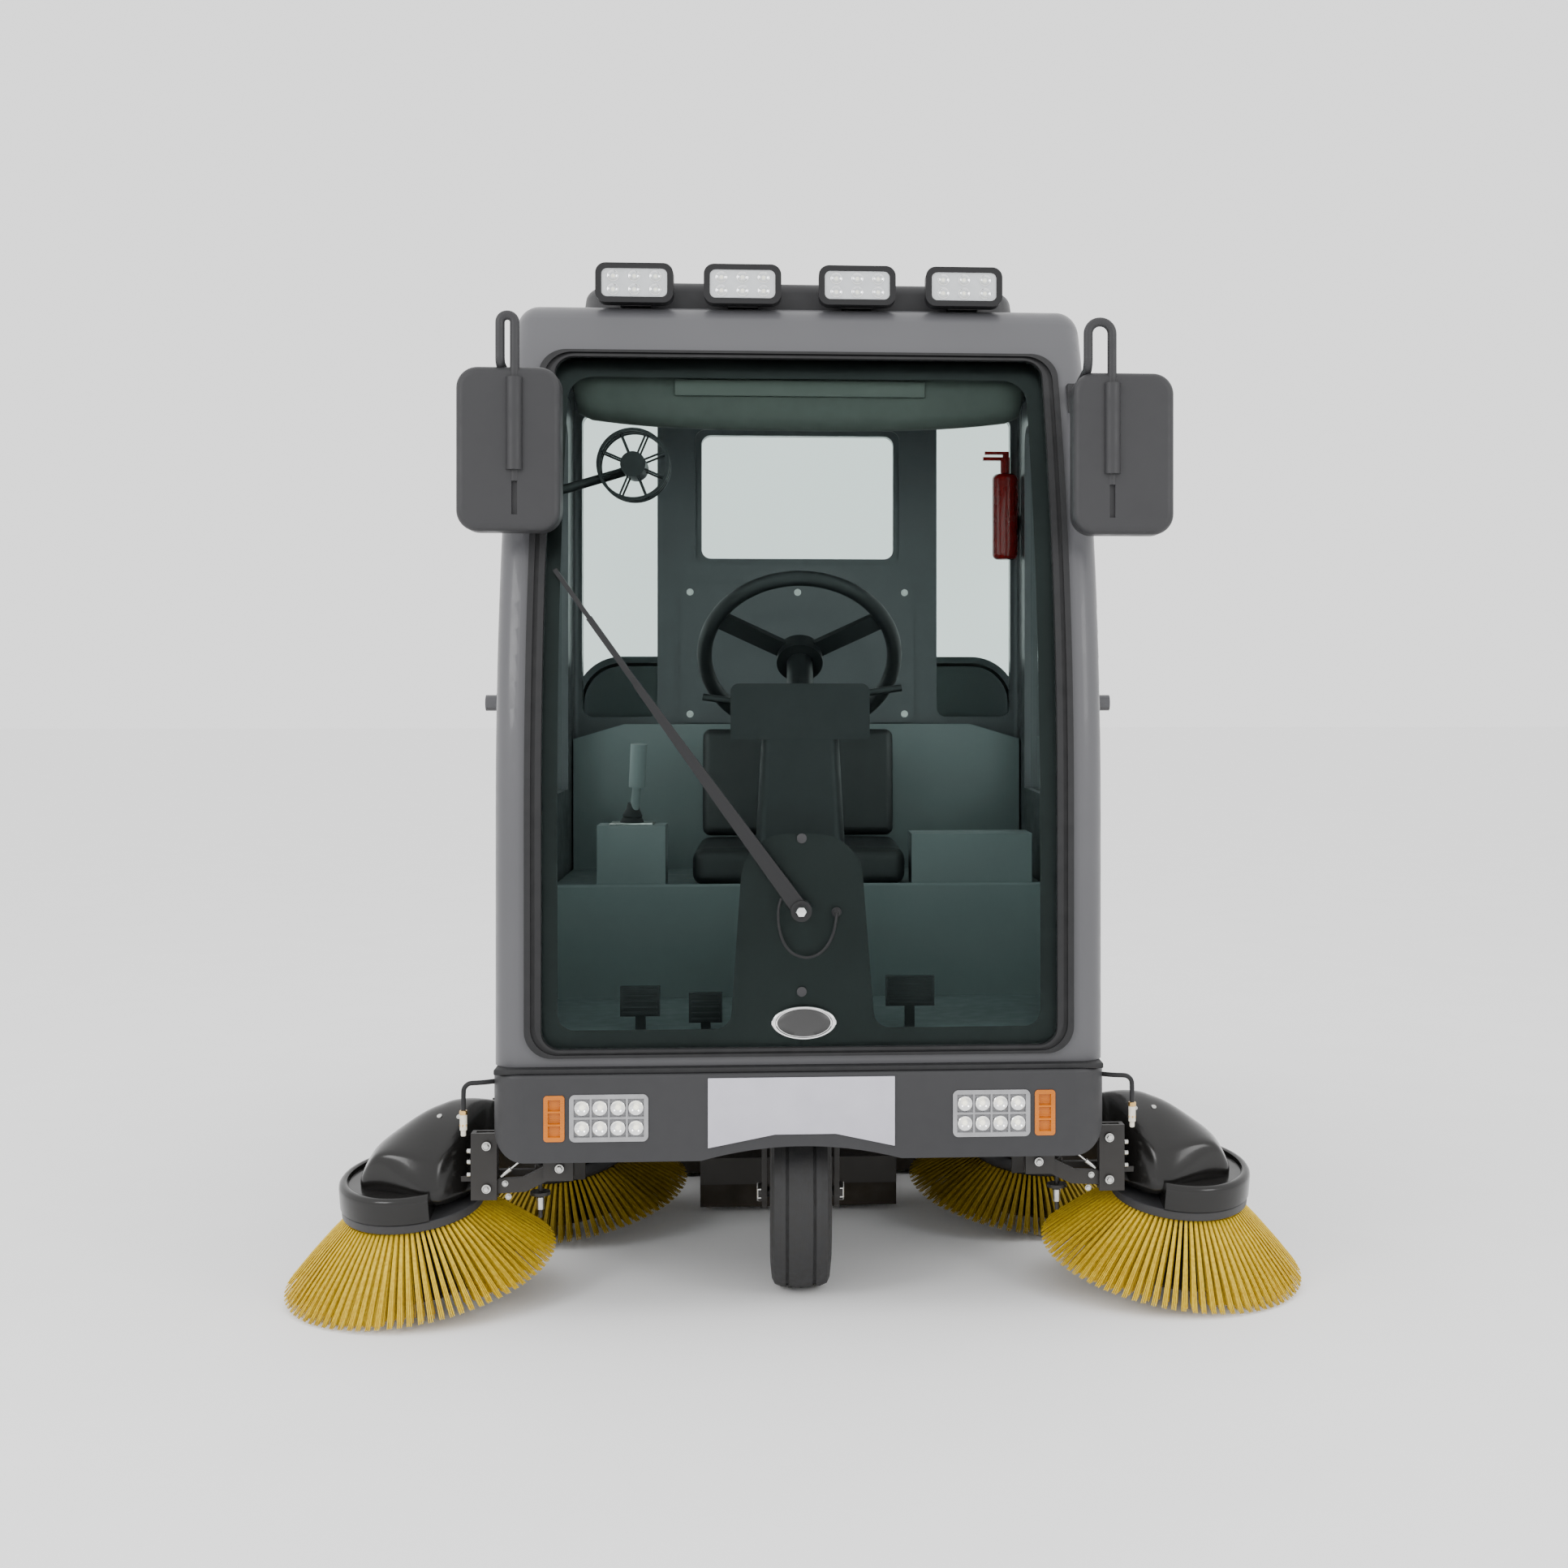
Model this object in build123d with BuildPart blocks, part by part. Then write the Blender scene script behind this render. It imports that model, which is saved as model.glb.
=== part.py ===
from build123d import *
import os
from math import asin, cos, degrees, radians, sin, sqrt

# Compact three-wheeled electric road sweeper with an enclosed glass-fronted cab.
# Millimetres. +Z is up, the nose points along -Y, the origin is on the ground under the middle.

# ------------------------------------------------------------------ driving dimensions
# Cab
cab_half_width = 553
cab_front_y = -1085
cab_rear_y = -10
cab_bottom_z = 450
roof_z = 1880
cab_wall = 35
cab_edge_radius = 45        # rounding between the sides and the front, roof and back
roof_front_radius = 70      # rounding of the header, seen from the side
bend_z = 900                # the windscreen stands upright below this height
screen_radius = 1730        # and leans back along this arc above it
floor_thickness = 38

# Windscreen and its rubber seal, as seen from the front
screen_half_width = 466
screen_low_z = 481
screen_high_z = 1765
screen_corner = 34
seal_width = 30
glass_thickness = 6
glass_inset = 8             # from the cab's outer face to the glass
fit_gap = 0.2               # between a glass or lamp and what holds it

# Doors, hinged at the rear edge
door_gap = 6
pillar_width = 95           # front pillar, seen from the side
door_rear_y = -111
door_low_z = 494
door_high_z = 1788
door_corner = 45
door_frame_width = 62
door_window_low_z = 905
door_hinge_y = -104
door_hinge_heights = (760, 1480)
hinge_pin_radius = 6
hinge_knuckle_radius = 12
hinge_knuckle_length = 50
pin_clearance = 0.1         # radial, at every pin and shaft

# Wheels
front_wheel_radius = 175
front_wheel_width = 114
front_axle_y = -905
kingpin_y = -925
rear_wheel_radius = 205
rear_wheel_width = 130
rear_axle_y = 520
rear_track = 880

# Side brushes: four alike, tilted forward and outward
brush_radius = 250
brush_ring_radius = 133
brush_ring_height = 30
brush_ring_low = 76         # ring underside above the circle of the tips
tuft_count = 30
tip_clearance = 3           # lowest bristle tips above the ground
front_brush_x = 706
front_brush_y = -925
rear_brush_x = 486
rear_brush_y = -405
brush_tilt_forward = 9.0    # degrees
brush_tilt_outward = 6.7

# Front brush linkage, in the plane across the vehicle at link_y
link_y = -1000
link_inner_x = 441
link_inner_z = 252
link_outer_x = 573
link_outer_z = 217
link_rise = 78              # upper arm above the lower arm
link_bar = 12
link_eye_radius = 20
link_pin_radius = 8
clevis_plate = 8
clevis_gap = 1              # each side of a bar between its plates

# Rear brush arm
trail_pivot_y = -720
trail_pivot_z = 250
trail_arm_width = 36

# Main roller brush and its housing
roller_radius = 150
roller_half_length = 352
roller_y = 98
roller_core_radius = 60
housing_half_width = 380
housing_wall = 15
housing_top_z = 325
housing_clearance = 22      # from the roller to the housing's outer faces
snout_half_width = 212
snout_front_y = -386

# Frame
rail_x = 300
rail_width = 50
rail_low_z = 390
frame_top_z = cab_bottom_z
rail_rear_y = 1120

# Bumper and lamps
bumper_front_y = -1112
bumper_rear_y = -1037
bumper_low_z = 284
bumper_high_z = 440
bumper_wall = 20
bumper_corner = 62
bumper_edge_radius = 6
headlamp_x = 343
headlamp_size = (140, 84)
headlamp_z = 363
indicator_x = 440
indicator_size = (37, 82)
lamp_depth = 34
plate_hole_spacing = 210
plate_hole_radius = 3.5
plate_hole_z = 400

# Rear body
body_half_width = 523
body_front_y = 10
body_rear_y = 1140
body_low_z = 240
body_split_z = 930          # the hood lifts off above this height
body_top_z = 1208
body_wall = 20
body_shoulder = 110
hood_wall = 15
hood_gap = 5
arch_clearance = 30
rear_door_half_width = 430
rear_door_low_z = 470
rear_door_high_z = 900
rear_door_gap = 5

# Cab fittings
seat_box_top_z = 718
seat_box_front_y = -540
steering_wheel_radius = 190
steering_wheel_centre = (0, -700, 1195)
steering_wheel_tilt = 52    # degrees, rim plane leaning back from level
roof_lamp_size = (148, 56)
roof_lamp_x = (112, 322)
mirror_size = (186, 296)
mirror_depth = 44

os.makedirs("parts", exist_ok=True)


# ------------------------------------------------------------------ helpers
def write(part, name):
    """Label a finished piece and write its STEP file."""
    part.label = name
    export_step(part, f"parts/{name}.step")


def slab(x, y, z, mode=Mode.ADD):
    """Block between its low and high limits along each axis."""
    with Locations(((x[0] + x[1]) / 2, (y[0] + y[1]) / 2, (z[0] + z[1]) / 2)):
        Box(x[1] - x[0], y[1] - y[0], z[1] - z[0], mode=mode)


def bar(start, end, radius, mode=Mode.ADD):
    """Round bar between two points."""
    run = Vector(*end) - Vector(*start)
    with Locations(Plane(start, z_dir=run)):
        Cylinder(radius, run.length, align=(Align.CENTER, Align.CENTER, Align.MIN), mode=mode)


def across(y):
    """Plane across the vehicle: local x is X, local y is Z, its normal points forward."""
    return Plane((0, y, 0), x_dir=(1, 0, 0), z_dir=(0, -1, 0))


def screen_y(z, proud=0):
    """Front face of the cab at a height, or a face standing proud of it."""
    radius = screen_radius + proud
    centre_y = cab_front_y + screen_radius
    return centre_y - sqrt(radius**2 - max(z - bend_z, 0) ** 2)


def cab_block(inset, low_z=cab_bottom_z):
    """Solid of the cab's outer form with every face drawn in by the inset."""
    rear = cab_rear_y - inset
    roof = roof_z - inset
    middle = (bend_z + roof) / 2
    with BuildPart() as block:
        with BuildSketch(Plane.YZ) as side:
            with BuildLine():
                rise = Line((cab_front_y + inset, low_z), (cab_front_y + inset, bend_z))
                lean = ThreePointArc(
                    rise @ 1,
                    (screen_y(middle, -inset), middle),
                    (screen_y(roof, -inset), roof),
                )
                top = Line(lean @ 1, (rear, roof))
                back = Line(top @ 1, (rear, low_z))
                Line(back @ 1, rise @ 0)
            make_face()
            fillet(side.vertices().group_by(Axis.Y)[-1], roof_front_radius - inset)
        extrude(amount=cab_half_width - inset, both=True)
        side_edges = block.faces().filter_by(Axis.X).edges()
        fillet([e for e in side_edges if e.center().Z > low_z + 1], max(cab_edge_radius - inset, 2))
    return block.part


def front_prism(half_width, low_z, high_z, corner, rear_y=-700, front_y=-1200, centre_x=0):
    """Rounded rectangle seen from the front, run along Y."""
    with BuildPart() as prism:
        with BuildSketch(across(rear_y)):
            with Locations((centre_x, (low_z + high_z) / 2)):
                RectangleRounded(2 * half_width, high_z - low_z, corner)
        extrude(amount=rear_y - front_y)
    return prism.part


def door_prism(grow, low_z=door_low_z):
    """Door outline seen from the side, run through the right-hand wall."""
    front_inset = pillar_width - grow
    high = door_high_z + grow
    low = low_z - grow
    middle = (bend_z + high) / 2
    with BuildPart() as prism:
        with BuildSketch(Plane.YZ.offset(cab_half_width - cab_wall - 20)) as side:
            with BuildLine():
                rise = Line(
                    (cab_front_y + front_inset, low),
                    (cab_front_y + front_inset, max(bend_z, low + 5)),
                )
                lean = ThreePointArc(
                    rise @ 1,
                    (screen_y(middle, -front_inset), middle),
                    (screen_y(high, -front_inset), high),
                )
                top = Line(lean @ 1, (door_rear_y + grow, high))
                back = Line(top @ 1, (door_rear_y + grow, low))
                Line(back @ 1, rise @ 0)
            make_face()
            ends = side.vertices().group_by(Axis.Y)
            fillet(ends[-1] + ends[0], door_corner)
        extrude(amount=cab_wall + 40)
    return prism.part


# ------------------------------------------------------------------ cab shell, split at its panels
def cab_wall_shell():
    """Hollow cab wall with the windscreen and both door openings cut."""
    with BuildPart() as shell:
        add(cab_block(0))
        add(cab_block(cab_wall, cab_bottom_z - 60), mode=Mode.SUBTRACT)
        add(
            front_prism(
                screen_half_width + seal_width + fit_gap,
                screen_low_z - seal_width / 2 - fit_gap,
                screen_high_z + seal_width / 2 + fit_gap,
                screen_corner + seal_width / 2,
            ),
            mode=Mode.SUBTRACT,
        )
        opening = door_prism(door_gap)
        add(opening, mode=Mode.SUBTRACT)
        add(opening.mirror(Plane.YZ), mode=Mode.SUBTRACT)
    return shell.part


roof_split_z = door_high_z + door_gap
door_front_y = cab_front_y + pillar_width
front_split_y = door_front_y - door_gap
floor_top_z = cab_bottom_z + floor_thickness
shell = cab_wall_shell()

with BuildPart() as cab_roof:
    add(shell)
    slab((-600, 600), (-1200, 100), (roof_split_z, 2000), mode=Mode.INTERSECT)
write(cab_roof.part, "cab_roof")

with BuildPart() as cab_front_frame:
    add(shell)
    slab((-600, 600), (-1200, -640), (cab_bottom_z, roof_split_z), mode=Mode.INTERSECT)
    slab((-600, 600), (front_split_y, -600), (cab_bottom_z - 1, floor_top_z + 30), mode=Mode.SUBTRACT)
write(cab_front_frame.part, "cab_front_frame")

# Windows of the rear wall: middle X, half width, low Z, high Z
rear_windows = ((0, 224, 1436, 1724), (-413, 87, 1066, 1770), (413, 87, 1066, 1770))
window_corner = 22
panel_half_width, panel_low_z, panel_high_z = 272, 1053, 1377
wall_inner_y = cab_rear_y - cab_wall

with BuildPart() as cab_rear_wall:
    add(shell)
    slab((-600, 600), (-640, 100), (floor_top_z, roof_split_z), mode=Mode.INTERSECT)
    for middle_x, half_width, low, high in rear_windows:
        add(front_prism(half_width, low, high, window_corner, 40, -80, middle_x), mode=Mode.SUBTRACT)
        # Pressed step around each window
        if middle_x == 0:
            step = front_prism(
                half_width + 14,
                low - 12,
                high + 12,
                window_corner,
                wall_inner_y + 6,
                wall_inner_y - 5,
            )
            add(step, mode=Mode.SUBTRACT)
    # Removable service panel below the middle window
    add(
        front_prism(panel_half_width, panel_low_z, panel_high_z, 12, wall_inner_y, wall_inner_y - 6),
        mode=Mode.ADD,
    )
    # Door hinge pins on brackets outside both rear door posts
    for side in (-1, 1):
        hinge_x = side * (cab_half_width + hinge_knuckle_radius + 2)
        for z in door_hinge_heights:
            for end in (-1, 1):
                low = z + end * (hinge_knuckle_length / 2 + 8) - 7
                for start_x, front_y in ((2, -9), (-6, 4)):
                    slab(
                        sorted((side * (cab_half_width + start_x), hinge_x + side * 8)),
                        (door_hinge_y + front_y, door_hinge_y + 22),
                        (low, low + 14),
                    )
            bar(
                (hinge_x, door_hinge_y, z - hinge_knuckle_length / 2 - 14),
                (hinge_x, door_hinge_y, z + hinge_knuckle_length / 2 + 14),
                hinge_pin_radius,
            )
write(cab_rear_wall.part, "cab_rear_wall")

# Floor pan with raised sills under the doors
with BuildPart() as cab_floor:
    add(shell)
    add(cab_block(cab_wall, cab_bottom_z))
    slab((-600, 600), (-1200, 100), (cab_bottom_z, floor_top_z), mode=Mode.INTERSECT)
    add(cab_front_frame.part, mode=Mode.SUBTRACT)
write(cab_floor.part, "cab_floor")


# ------------------------------------------------------------------ glass
def screen_band(outer, inner):
    """Curved sheet between two insets of the cab's outer form."""
    with BuildPart() as band:
        add(cab_block(outer, cab_bottom_z - 20))
        add(cab_block(inner, cab_bottom_z - 40), mode=Mode.SUBTRACT)
    return band.part


with BuildPart() as windscreen:
    add(screen_band(glass_inset, glass_inset + glass_thickness))
    add(front_prism(screen_half_width, screen_low_z, screen_high_z, screen_corner), mode=Mode.INTERSECT)
write(windscreen.part, "windscreen")

seal_proud = 7
with BuildPart() as windscreen_seal:
    add(screen_band(-seal_proud, cab_wall - 12))
    add(
        front_prism(
            screen_half_width + seal_width,
            screen_low_z - seal_width / 2,
            screen_high_z + seal_width / 2,
            screen_corner + seal_width / 2,
        ),
        mode=Mode.INTERSECT,
    )
    opening = (screen_half_width, screen_low_z, screen_high_z, screen_corner)
    add(
        front_prism(opening[0] + fit_gap, opening[1] - fit_gap, opening[2] + fit_gap, opening[3]),
        mode=Mode.SUBTRACT,
    )
    # Groove between the seal's two ribs
    rib = seal_width / 2
    with BuildPart(mode=Mode.PRIVATE) as groove:
        add(screen_band(-seal_proud - 2, -seal_proud + 5))
        add(
            front_prism(
                opening[0] + rib + 4,
                opening[1] - rib / 2 - 2,
                opening[2] + rib / 2 + 2,
                screen_corner + rib,
            ),
            mode=Mode.INTERSECT,
        )
        add(
            front_prism(
                opening[0] + rib - 4,
                opening[1] - rib / 2 + 2,
                opening[2] + rib / 2 - 2,
                screen_corner + rib,
            ),
            mode=Mode.SUBTRACT,
        )
    add(groove.part, mode=Mode.SUBTRACT)
write(windscreen_seal.part, "windscreen_seal")

with BuildPart() as rear_glass:
    for middle_x, half_width, low, high in rear_windows:
        pane_y = cab_rear_y - cab_wall / 2 + glass_thickness / 2
        add(
            front_prism(
                half_width - fit_gap,
                low + fit_gap,
                high - fit_gap,
                window_corner,
                pane_y,
                pane_y - glass_thickness,
                middle_x,
            )
        )
write(rear_glass.part, "rear_glass")


# ------------------------------------------------------------------ doors
def door_window(grow):
    """Upper and lower window outlines of a door, run through the wall."""
    frame = door_frame_width - grow
    with BuildPart() as cut:
        add(door_prism(-frame))
        slab((0, 700), (-1200, 100), (door_window_low_z - grow, 2000), mode=Mode.INTERSECT)
    return cut.part


def door_leaf():
    """Right-hand door with its window opening, hinge knuckles and push-button handle."""
    with BuildPart() as leaf:
        add(cab_block(0))
        add(cab_block(cab_wall, cab_bottom_z - 60), mode=Mode.SUBTRACT)
        add(door_prism(0), mode=Mode.INTERSECT)
        add(door_window(0), mode=Mode.SUBTRACT)
        # Pressed panel below the window
        slab(
            (cab_half_width - 6, cab_half_width + 5),
            (door_front_y + 70, door_rear_y - 70),
            (door_low_z + 70, door_window_low_z - 60),
            mode=Mode.SUBTRACT,
        )
        for z in door_hinge_heights:
            hinge_x = cab_half_width + hinge_knuckle_radius + 2
            reach = hinge_knuckle_length / 2
            bar(
                (hinge_x, door_hinge_y, z - reach),
                (hinge_x, door_hinge_y, z + reach),
                hinge_knuckle_radius,
            )
            slab(
                (cab_half_width - 4, hinge_x),
                (door_rear_y - 60, door_hinge_y - 3),
                (z - reach, z + reach),
            )
            bar(
                (hinge_x, door_hinge_y, z - reach - 1),
                (hinge_x, door_hinge_y, z + reach + 1),
                hinge_pin_radius + pin_clearance,
                mode=Mode.SUBTRACT,
            )
        # Escutcheon and push button near the front edge
        handle_y, handle_z = door_front_y + 62, 1103
        bar((cab_half_width - 3, handle_y, handle_z), (cab_half_width + 12, handle_y, handle_z), 26)
        bar((cab_half_width + 10, handle_y, handle_z), (cab_half_width + 34, handle_y, handle_z), 15)
    return leaf.part


def door_pane():
    """Glass of the right-hand door, in the middle of the wall."""
    middle_x = cab_half_width - cab_wall / 2
    with BuildPart() as pane:
        add(door_window(-fit_gap))
        slab(
            (middle_x - glass_thickness / 2, middle_x + glass_thickness / 2),
            (-1200, 100),
            (0, 2000),
            mode=Mode.INTERSECT,
        )
    return pane.part


right_door, right_pane = door_leaf(), door_pane()
write(right_door, "door_right")
write(right_pane, "door_glass_right")
write(right_door.mirror(Plane.YZ), "door_left")
write(right_pane.mirror(Plane.YZ), "door_glass_left")


# ------------------------------------------------------------------ roof fittings
pod_half_width, pod_y, pod_top_z = 440, (-728, -110), 1940
with BuildPart() as roof_pod:
    with BuildSketch(Plane.XY.offset(roof_z)):
        with Locations((0, (pod_y[0] + pod_y[1]) / 2)):
            RectangleRounded(2 * pod_half_width, pod_y[1] - pod_y[0], 130)
    extrude(amount=pod_top_z - roof_z, taper=8)
    fillet(roof_pod.faces().sort_by(Axis.Z)[-1].edges(), 24)
write(roof_pod.part, "roof_pod")

roof_lamp_y = -800
roof_lamp_depth = 58
roof_lamp_z = roof_z + 40
with BuildPart() as roof_lamps:
    width, height = roof_lamp_size
    low = roof_lamp_z - height / 2
    for x in (-roof_lamp_x[1], -roof_lamp_x[0], roof_lamp_x[0], roof_lamp_x[1]):
        add(
            front_prism(
                width / 2, low, low + height, 9, roof_lamp_y + roof_lamp_depth, roof_lamp_y, x
            )
        )
        # Lens recess, cooling fins and the foot on the roof
        add(
            front_prism(
                width / 2 - 8,
                low + 7,
                low + height - 7,
                5,
                roof_lamp_y + 5,
                roof_lamp_y - 1,
                x,
            ),
            mode=Mode.SUBTRACT,
        )
        for fin in range(7):
            fin_x = x - 54 + 18 * fin
            slab(
                (fin_x - 4, fin_x + 4),
                (roof_lamp_y + roof_lamp_depth - 22, roof_lamp_y + roof_lamp_depth + 1),
                (low - 1, low + height + 1),
                mode=Mode.SUBTRACT,
            )
        slab((x - 32, x + 32), (roof_lamp_y + 32, roof_lamp_y + 57), (roof_z, low + 4))
write(roof_lamps.part, "roof_lamps")

# Mirrors on the front pillars; the left one is turned in, over the screen edge
mirror_y = -1078
mirror_low_z = 1412
mirror_apex_z = 1800
mirror_tube_radius = 8.5
mirror_foot_z = 1690
# Side, foot X on the pillar, tube X, head middle X
mirror_table = ((-1, 540, 514, 526), (1, 524, 568, 590))


def mirror_arm(side, foot_x, tube_x):
    """Bent tube from the front pillar over and down into the mirror's sleeve."""
    foot_y = screen_y(mirror_foot_z) + 10
    with BuildPart() as arm:
        with BuildLine() as route:
            FilletPolyline(
                (side * foot_x, foot_y, mirror_foot_z),
                (side * foot_x, mirror_y, mirror_foot_z + 24),
                (side * foot_x, mirror_y, mirror_apex_z),
                (side * tube_x, mirror_y, mirror_apex_z),
                (side * tube_x, mirror_y, mirror_low_z + 90),
                radius=abs(tube_x - foot_x) / 2 - 0.5,
            )
        with BuildSketch(Plane(route.line @ 0, z_dir=route.line % 0)):
            Circle(mirror_tube_radius)
        sweep()
        # Pillar bracket
        slab(
            (side * foot_x - 13, side * foot_x + 13),
            (foot_y - 26, foot_y + 4),
            (mirror_foot_z - 40, mirror_foot_z + 24),
        )
        add(cab_block(0), mode=Mode.SUBTRACT)
    return arm.part


def mirror_head(middle_x, tube_x):
    """Rounded shell with a sleeve and a groove on its back and the glass recess behind."""
    width, height = mirror_size
    with BuildPart() as head:
        add(
            front_prism(
                width / 2, mirror_low_z, mirror_low_z + height, 38,
                mirror_y + mirror_depth, mirror_y - 6, middle_x,
            )
        )
        fillet(head.faces().sort_by(Axis.Y)[0].edges(), 14)
        bar(
            (tube_x, mirror_y - 4, mirror_low_z + 110),
            (tube_x, mirror_y - 4, mirror_low_z + height - 20),
            15,
        )
        slab(
            (tube_x - 5, tube_x + 5),
            (mirror_y - 8, mirror_y),
            (mirror_low_z + 30, mirror_low_z + 104),
            mode=Mode.SUBTRACT,
        )
        add(
            front_prism(
                width / 2 - 9, mirror_low_z + 9, mirror_low_z + height - 9, 30,
                mirror_y + mirror_depth + 1, mirror_y + mirror_depth - 7, middle_x,
            ),
            mode=Mode.SUBTRACT,
        )
    return head.part


with BuildPart() as mirrors:
    for side, foot_x, tube_x, middle_x in mirror_table:
        add(mirror_arm(side, foot_x, tube_x))
        add(mirror_head(side * middle_x, side * tube_x))
write(mirrors.part, "mirrors")

with BuildPart() as mirror_glass:
    width, height = mirror_size
    for side, foot_x, tube_x, middle_x in mirror_table:
        add(
            front_prism(
                width / 2 - 9 - fit_gap, mirror_low_z + 9 + fit_gap,
                mirror_low_z + height - 9 - fit_gap, 30,
                mirror_y + mirror_depth - 2, mirror_y + mirror_depth - 7, side * middle_x,
            )
        )
write(mirror_glass.part, "mirror_glass")


# ------------------------------------------------------------------ inside the cab
seat_box_rear_y = -62
seat_box_wall = 12
bulkhead_top_z = 1050
bulkhead_thickness = 40
seat_box_half_width = cab_half_width - cab_wall - 4
shoulder_half_width = 400

with BuildPart() as seat_box:
    slab(
        (-seat_box_half_width, seat_box_half_width),
        (seat_box_front_y, seat_box_rear_y),
        (floor_top_z, seat_box_top_z),
    )
    slab(
        (-seat_box_half_width + seat_box_wall, seat_box_half_width - seat_box_wall),
        (seat_box_front_y + seat_box_wall, seat_box_rear_y - seat_box_wall),
        (floor_top_z - 1, seat_box_top_z - seat_box_wall),
        mode=Mode.SUBTRACT,
    )
    # Bulkhead behind the seat, its top sloping down at both sides
    with BuildSketch(across(seat_box_rear_y)):
        with BuildLine():
            Polyline(
                (-seat_box_half_width, seat_box_top_z - 30),
                (-seat_box_half_width, bulkhead_top_z - 34),
                (-shoulder_half_width, bulkhead_top_z),
                (shoulder_half_width, bulkhead_top_z),
                (seat_box_half_width, bulkhead_top_z - 34),
                (seat_box_half_width, seat_box_top_z - 30),
                close=True,
            )
        make_face()
    extrude(amount=bulkhead_thickness)
    # Raised edge along the front of the box
    bar(
        (-seat_box_half_width + 6, seat_box_front_y + 6, seat_box_top_z),
        (seat_box_half_width - 6, seat_box_front_y + 6, seat_box_top_z),
        6,
    )
write(seat_box.part, "seat_box")

with BuildPart() as battery_pack:
    slab(
        (-420, 420),
        (seat_box_front_y + 40, seat_box_rear_y - bulkhead_thickness - 10),
        (floor_top_z, seat_box_top_z - seat_box_wall - 12),
    )
write(battery_pack.part, "battery_pack")

# Driver's seat: cushion and backrest
with BuildPart() as driver_seat:
    cushion_low = seat_box_top_z
    with BuildSketch(Plane.XY.offset(cushion_low)):
        with Locations((0, -347)):
            RectangleRounded(450, 356, 60)
    extrude(amount=84)
    fillet(driver_seat.faces().sort_by(Axis.Z)[-1].edges(), 26)
    with BuildSketch(Plane((0, -236, cushion_low + 60), x_dir=(1, 0, 0), z_dir=(0, -1, 0.12))):
        with Locations((0, 120)):
            RectangleRounded(430, 300, 60)
    extrude(amount=-62)
write(driver_seat.part, "driver_seat")

# Steering pedestal, dash box, stalks and pedals
wheel_plane = Plane(
    steering_wheel_centre,
    x_dir=(1, 0, 0),
    z_dir=(0, sin(radians(steering_wheel_tilt)), cos(radians(steering_wheel_tilt))),
)
dash_y = (-850, -770)
dash_z = (1032, 1140)
with BuildPart() as driver_controls:
    with BuildSketch(Plane.XY.offset(floor_top_z)):
        with Locations((0, -815)):
            RectangleRounded(210, 150, 20)
    with BuildSketch(Plane.XY.offset(dash_z[0])):
        with Locations((0, -810)):
            RectangleRounded(150, 80, 20)
    loft()
    slab((-134, 134), dash_y, dash_z)
    fillet(driver_controls.edges().filter_by(Axis.Y).group_by(Axis.Z)[-1], 16)
    column_start = wheel_plane.origin - wheel_plane.z_dir * 120
    bar(tuple(column_start), tuple(wheel_plane.origin - wheel_plane.z_dir * 24), 26)
    for side, reach, drop in ((-1, 190, 26), (1, 200, 8)):
        bar((side * 60, -780, dash_z[1] - drop - 20), (side * reach, -770, dash_z[1] - drop), 7)
    # Pedals on their stalks, rising from the floor
    for x, z, width in ((-300, 545, 74), (-178, 532, 62), (206, 560, 92)):
        slab((x - width / 2, x + width / 2), (-948, -936), (z - 28, z + 28))
        slab((x - 9, x + 9), (-940, -920), (floor_top_z, z))
write(driver_controls.part, "driver_controls")

with BuildPart(wheel_plane) as steering_wheel:
    with BuildSketch(Plane(wheel_plane.origin, x_dir=wheel_plane.z_dir, z_dir=(1, 0, 0))):
        with Locations((0, steering_wheel_radius)):
            Circle(15)
    revolve(axis=Axis(wheel_plane.origin, wheel_plane.z_dir))
    with Locations((0, 0, -6)):
        Cylinder(46, 34)
    with PolarLocations(0, 3, start_angle=90):
        with Locations(((steering_wheel_radius - 10) / 2 + 20, 0, 0)):
            Box(steering_wheel_radius - 20, 36, 12)
write(steering_wheel.part, "steering_wheel")

# Lever console on the left and the shelf console on the right
with BuildPart() as consoles:
    slab((-420, -278), (-528, -440), (seat_box_top_z, 846))
    bar((-350, -488, 840), (-338, -505, 930), 9)
    bar((-339, -503, 925), (-334, -512, 1015), 17)
    slab((236, 490), (-528, -420), (seat_box_top_z, 826))
write(consoles.part, "consoles")

# Caged fan on an arm from the left front pillar
fan_centre = (-318, -858, 1557)
fan_radius = 66
fan_depth = 54
with BuildPart() as cab_fan:
    x, y, z = fan_centre
    front, back = y - fan_depth / 2, y + fan_depth / 2
    for ring_y in (front, y, back):
        with BuildSketch(across(ring_y + 3)):
            with Locations((x, z)):
                Circle(fan_radius + 3)
                Circle(fan_radius - 3, mode=Mode.SUBTRACT)
        extrude(amount=6)
    for turn in range(8):
        angle = radians(45 * turn + 22)
        rim_x, rim_z = x + fan_radius * cos(angle), z + fan_radius * sin(angle)
        bar((rim_x, front, rim_z), (rim_x, back, rim_z), 2)
        for face_y in (front, back):
            bar((x, face_y, z), (rim_x, face_y, rim_z), 2)
    bar((x, front - 4, z), (x, back + 34, z), 24)
    pillar_x = -(cab_half_width - cab_wall)
    bar((x, back + 20, z), (pillar_x + 8, y - 56, z - 72), 9)
    slab((pillar_x, pillar_x + 12), (y - 66, y - 38), (z - 96, z - 48))
write(cab_fan.part, "cab_fan")

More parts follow.
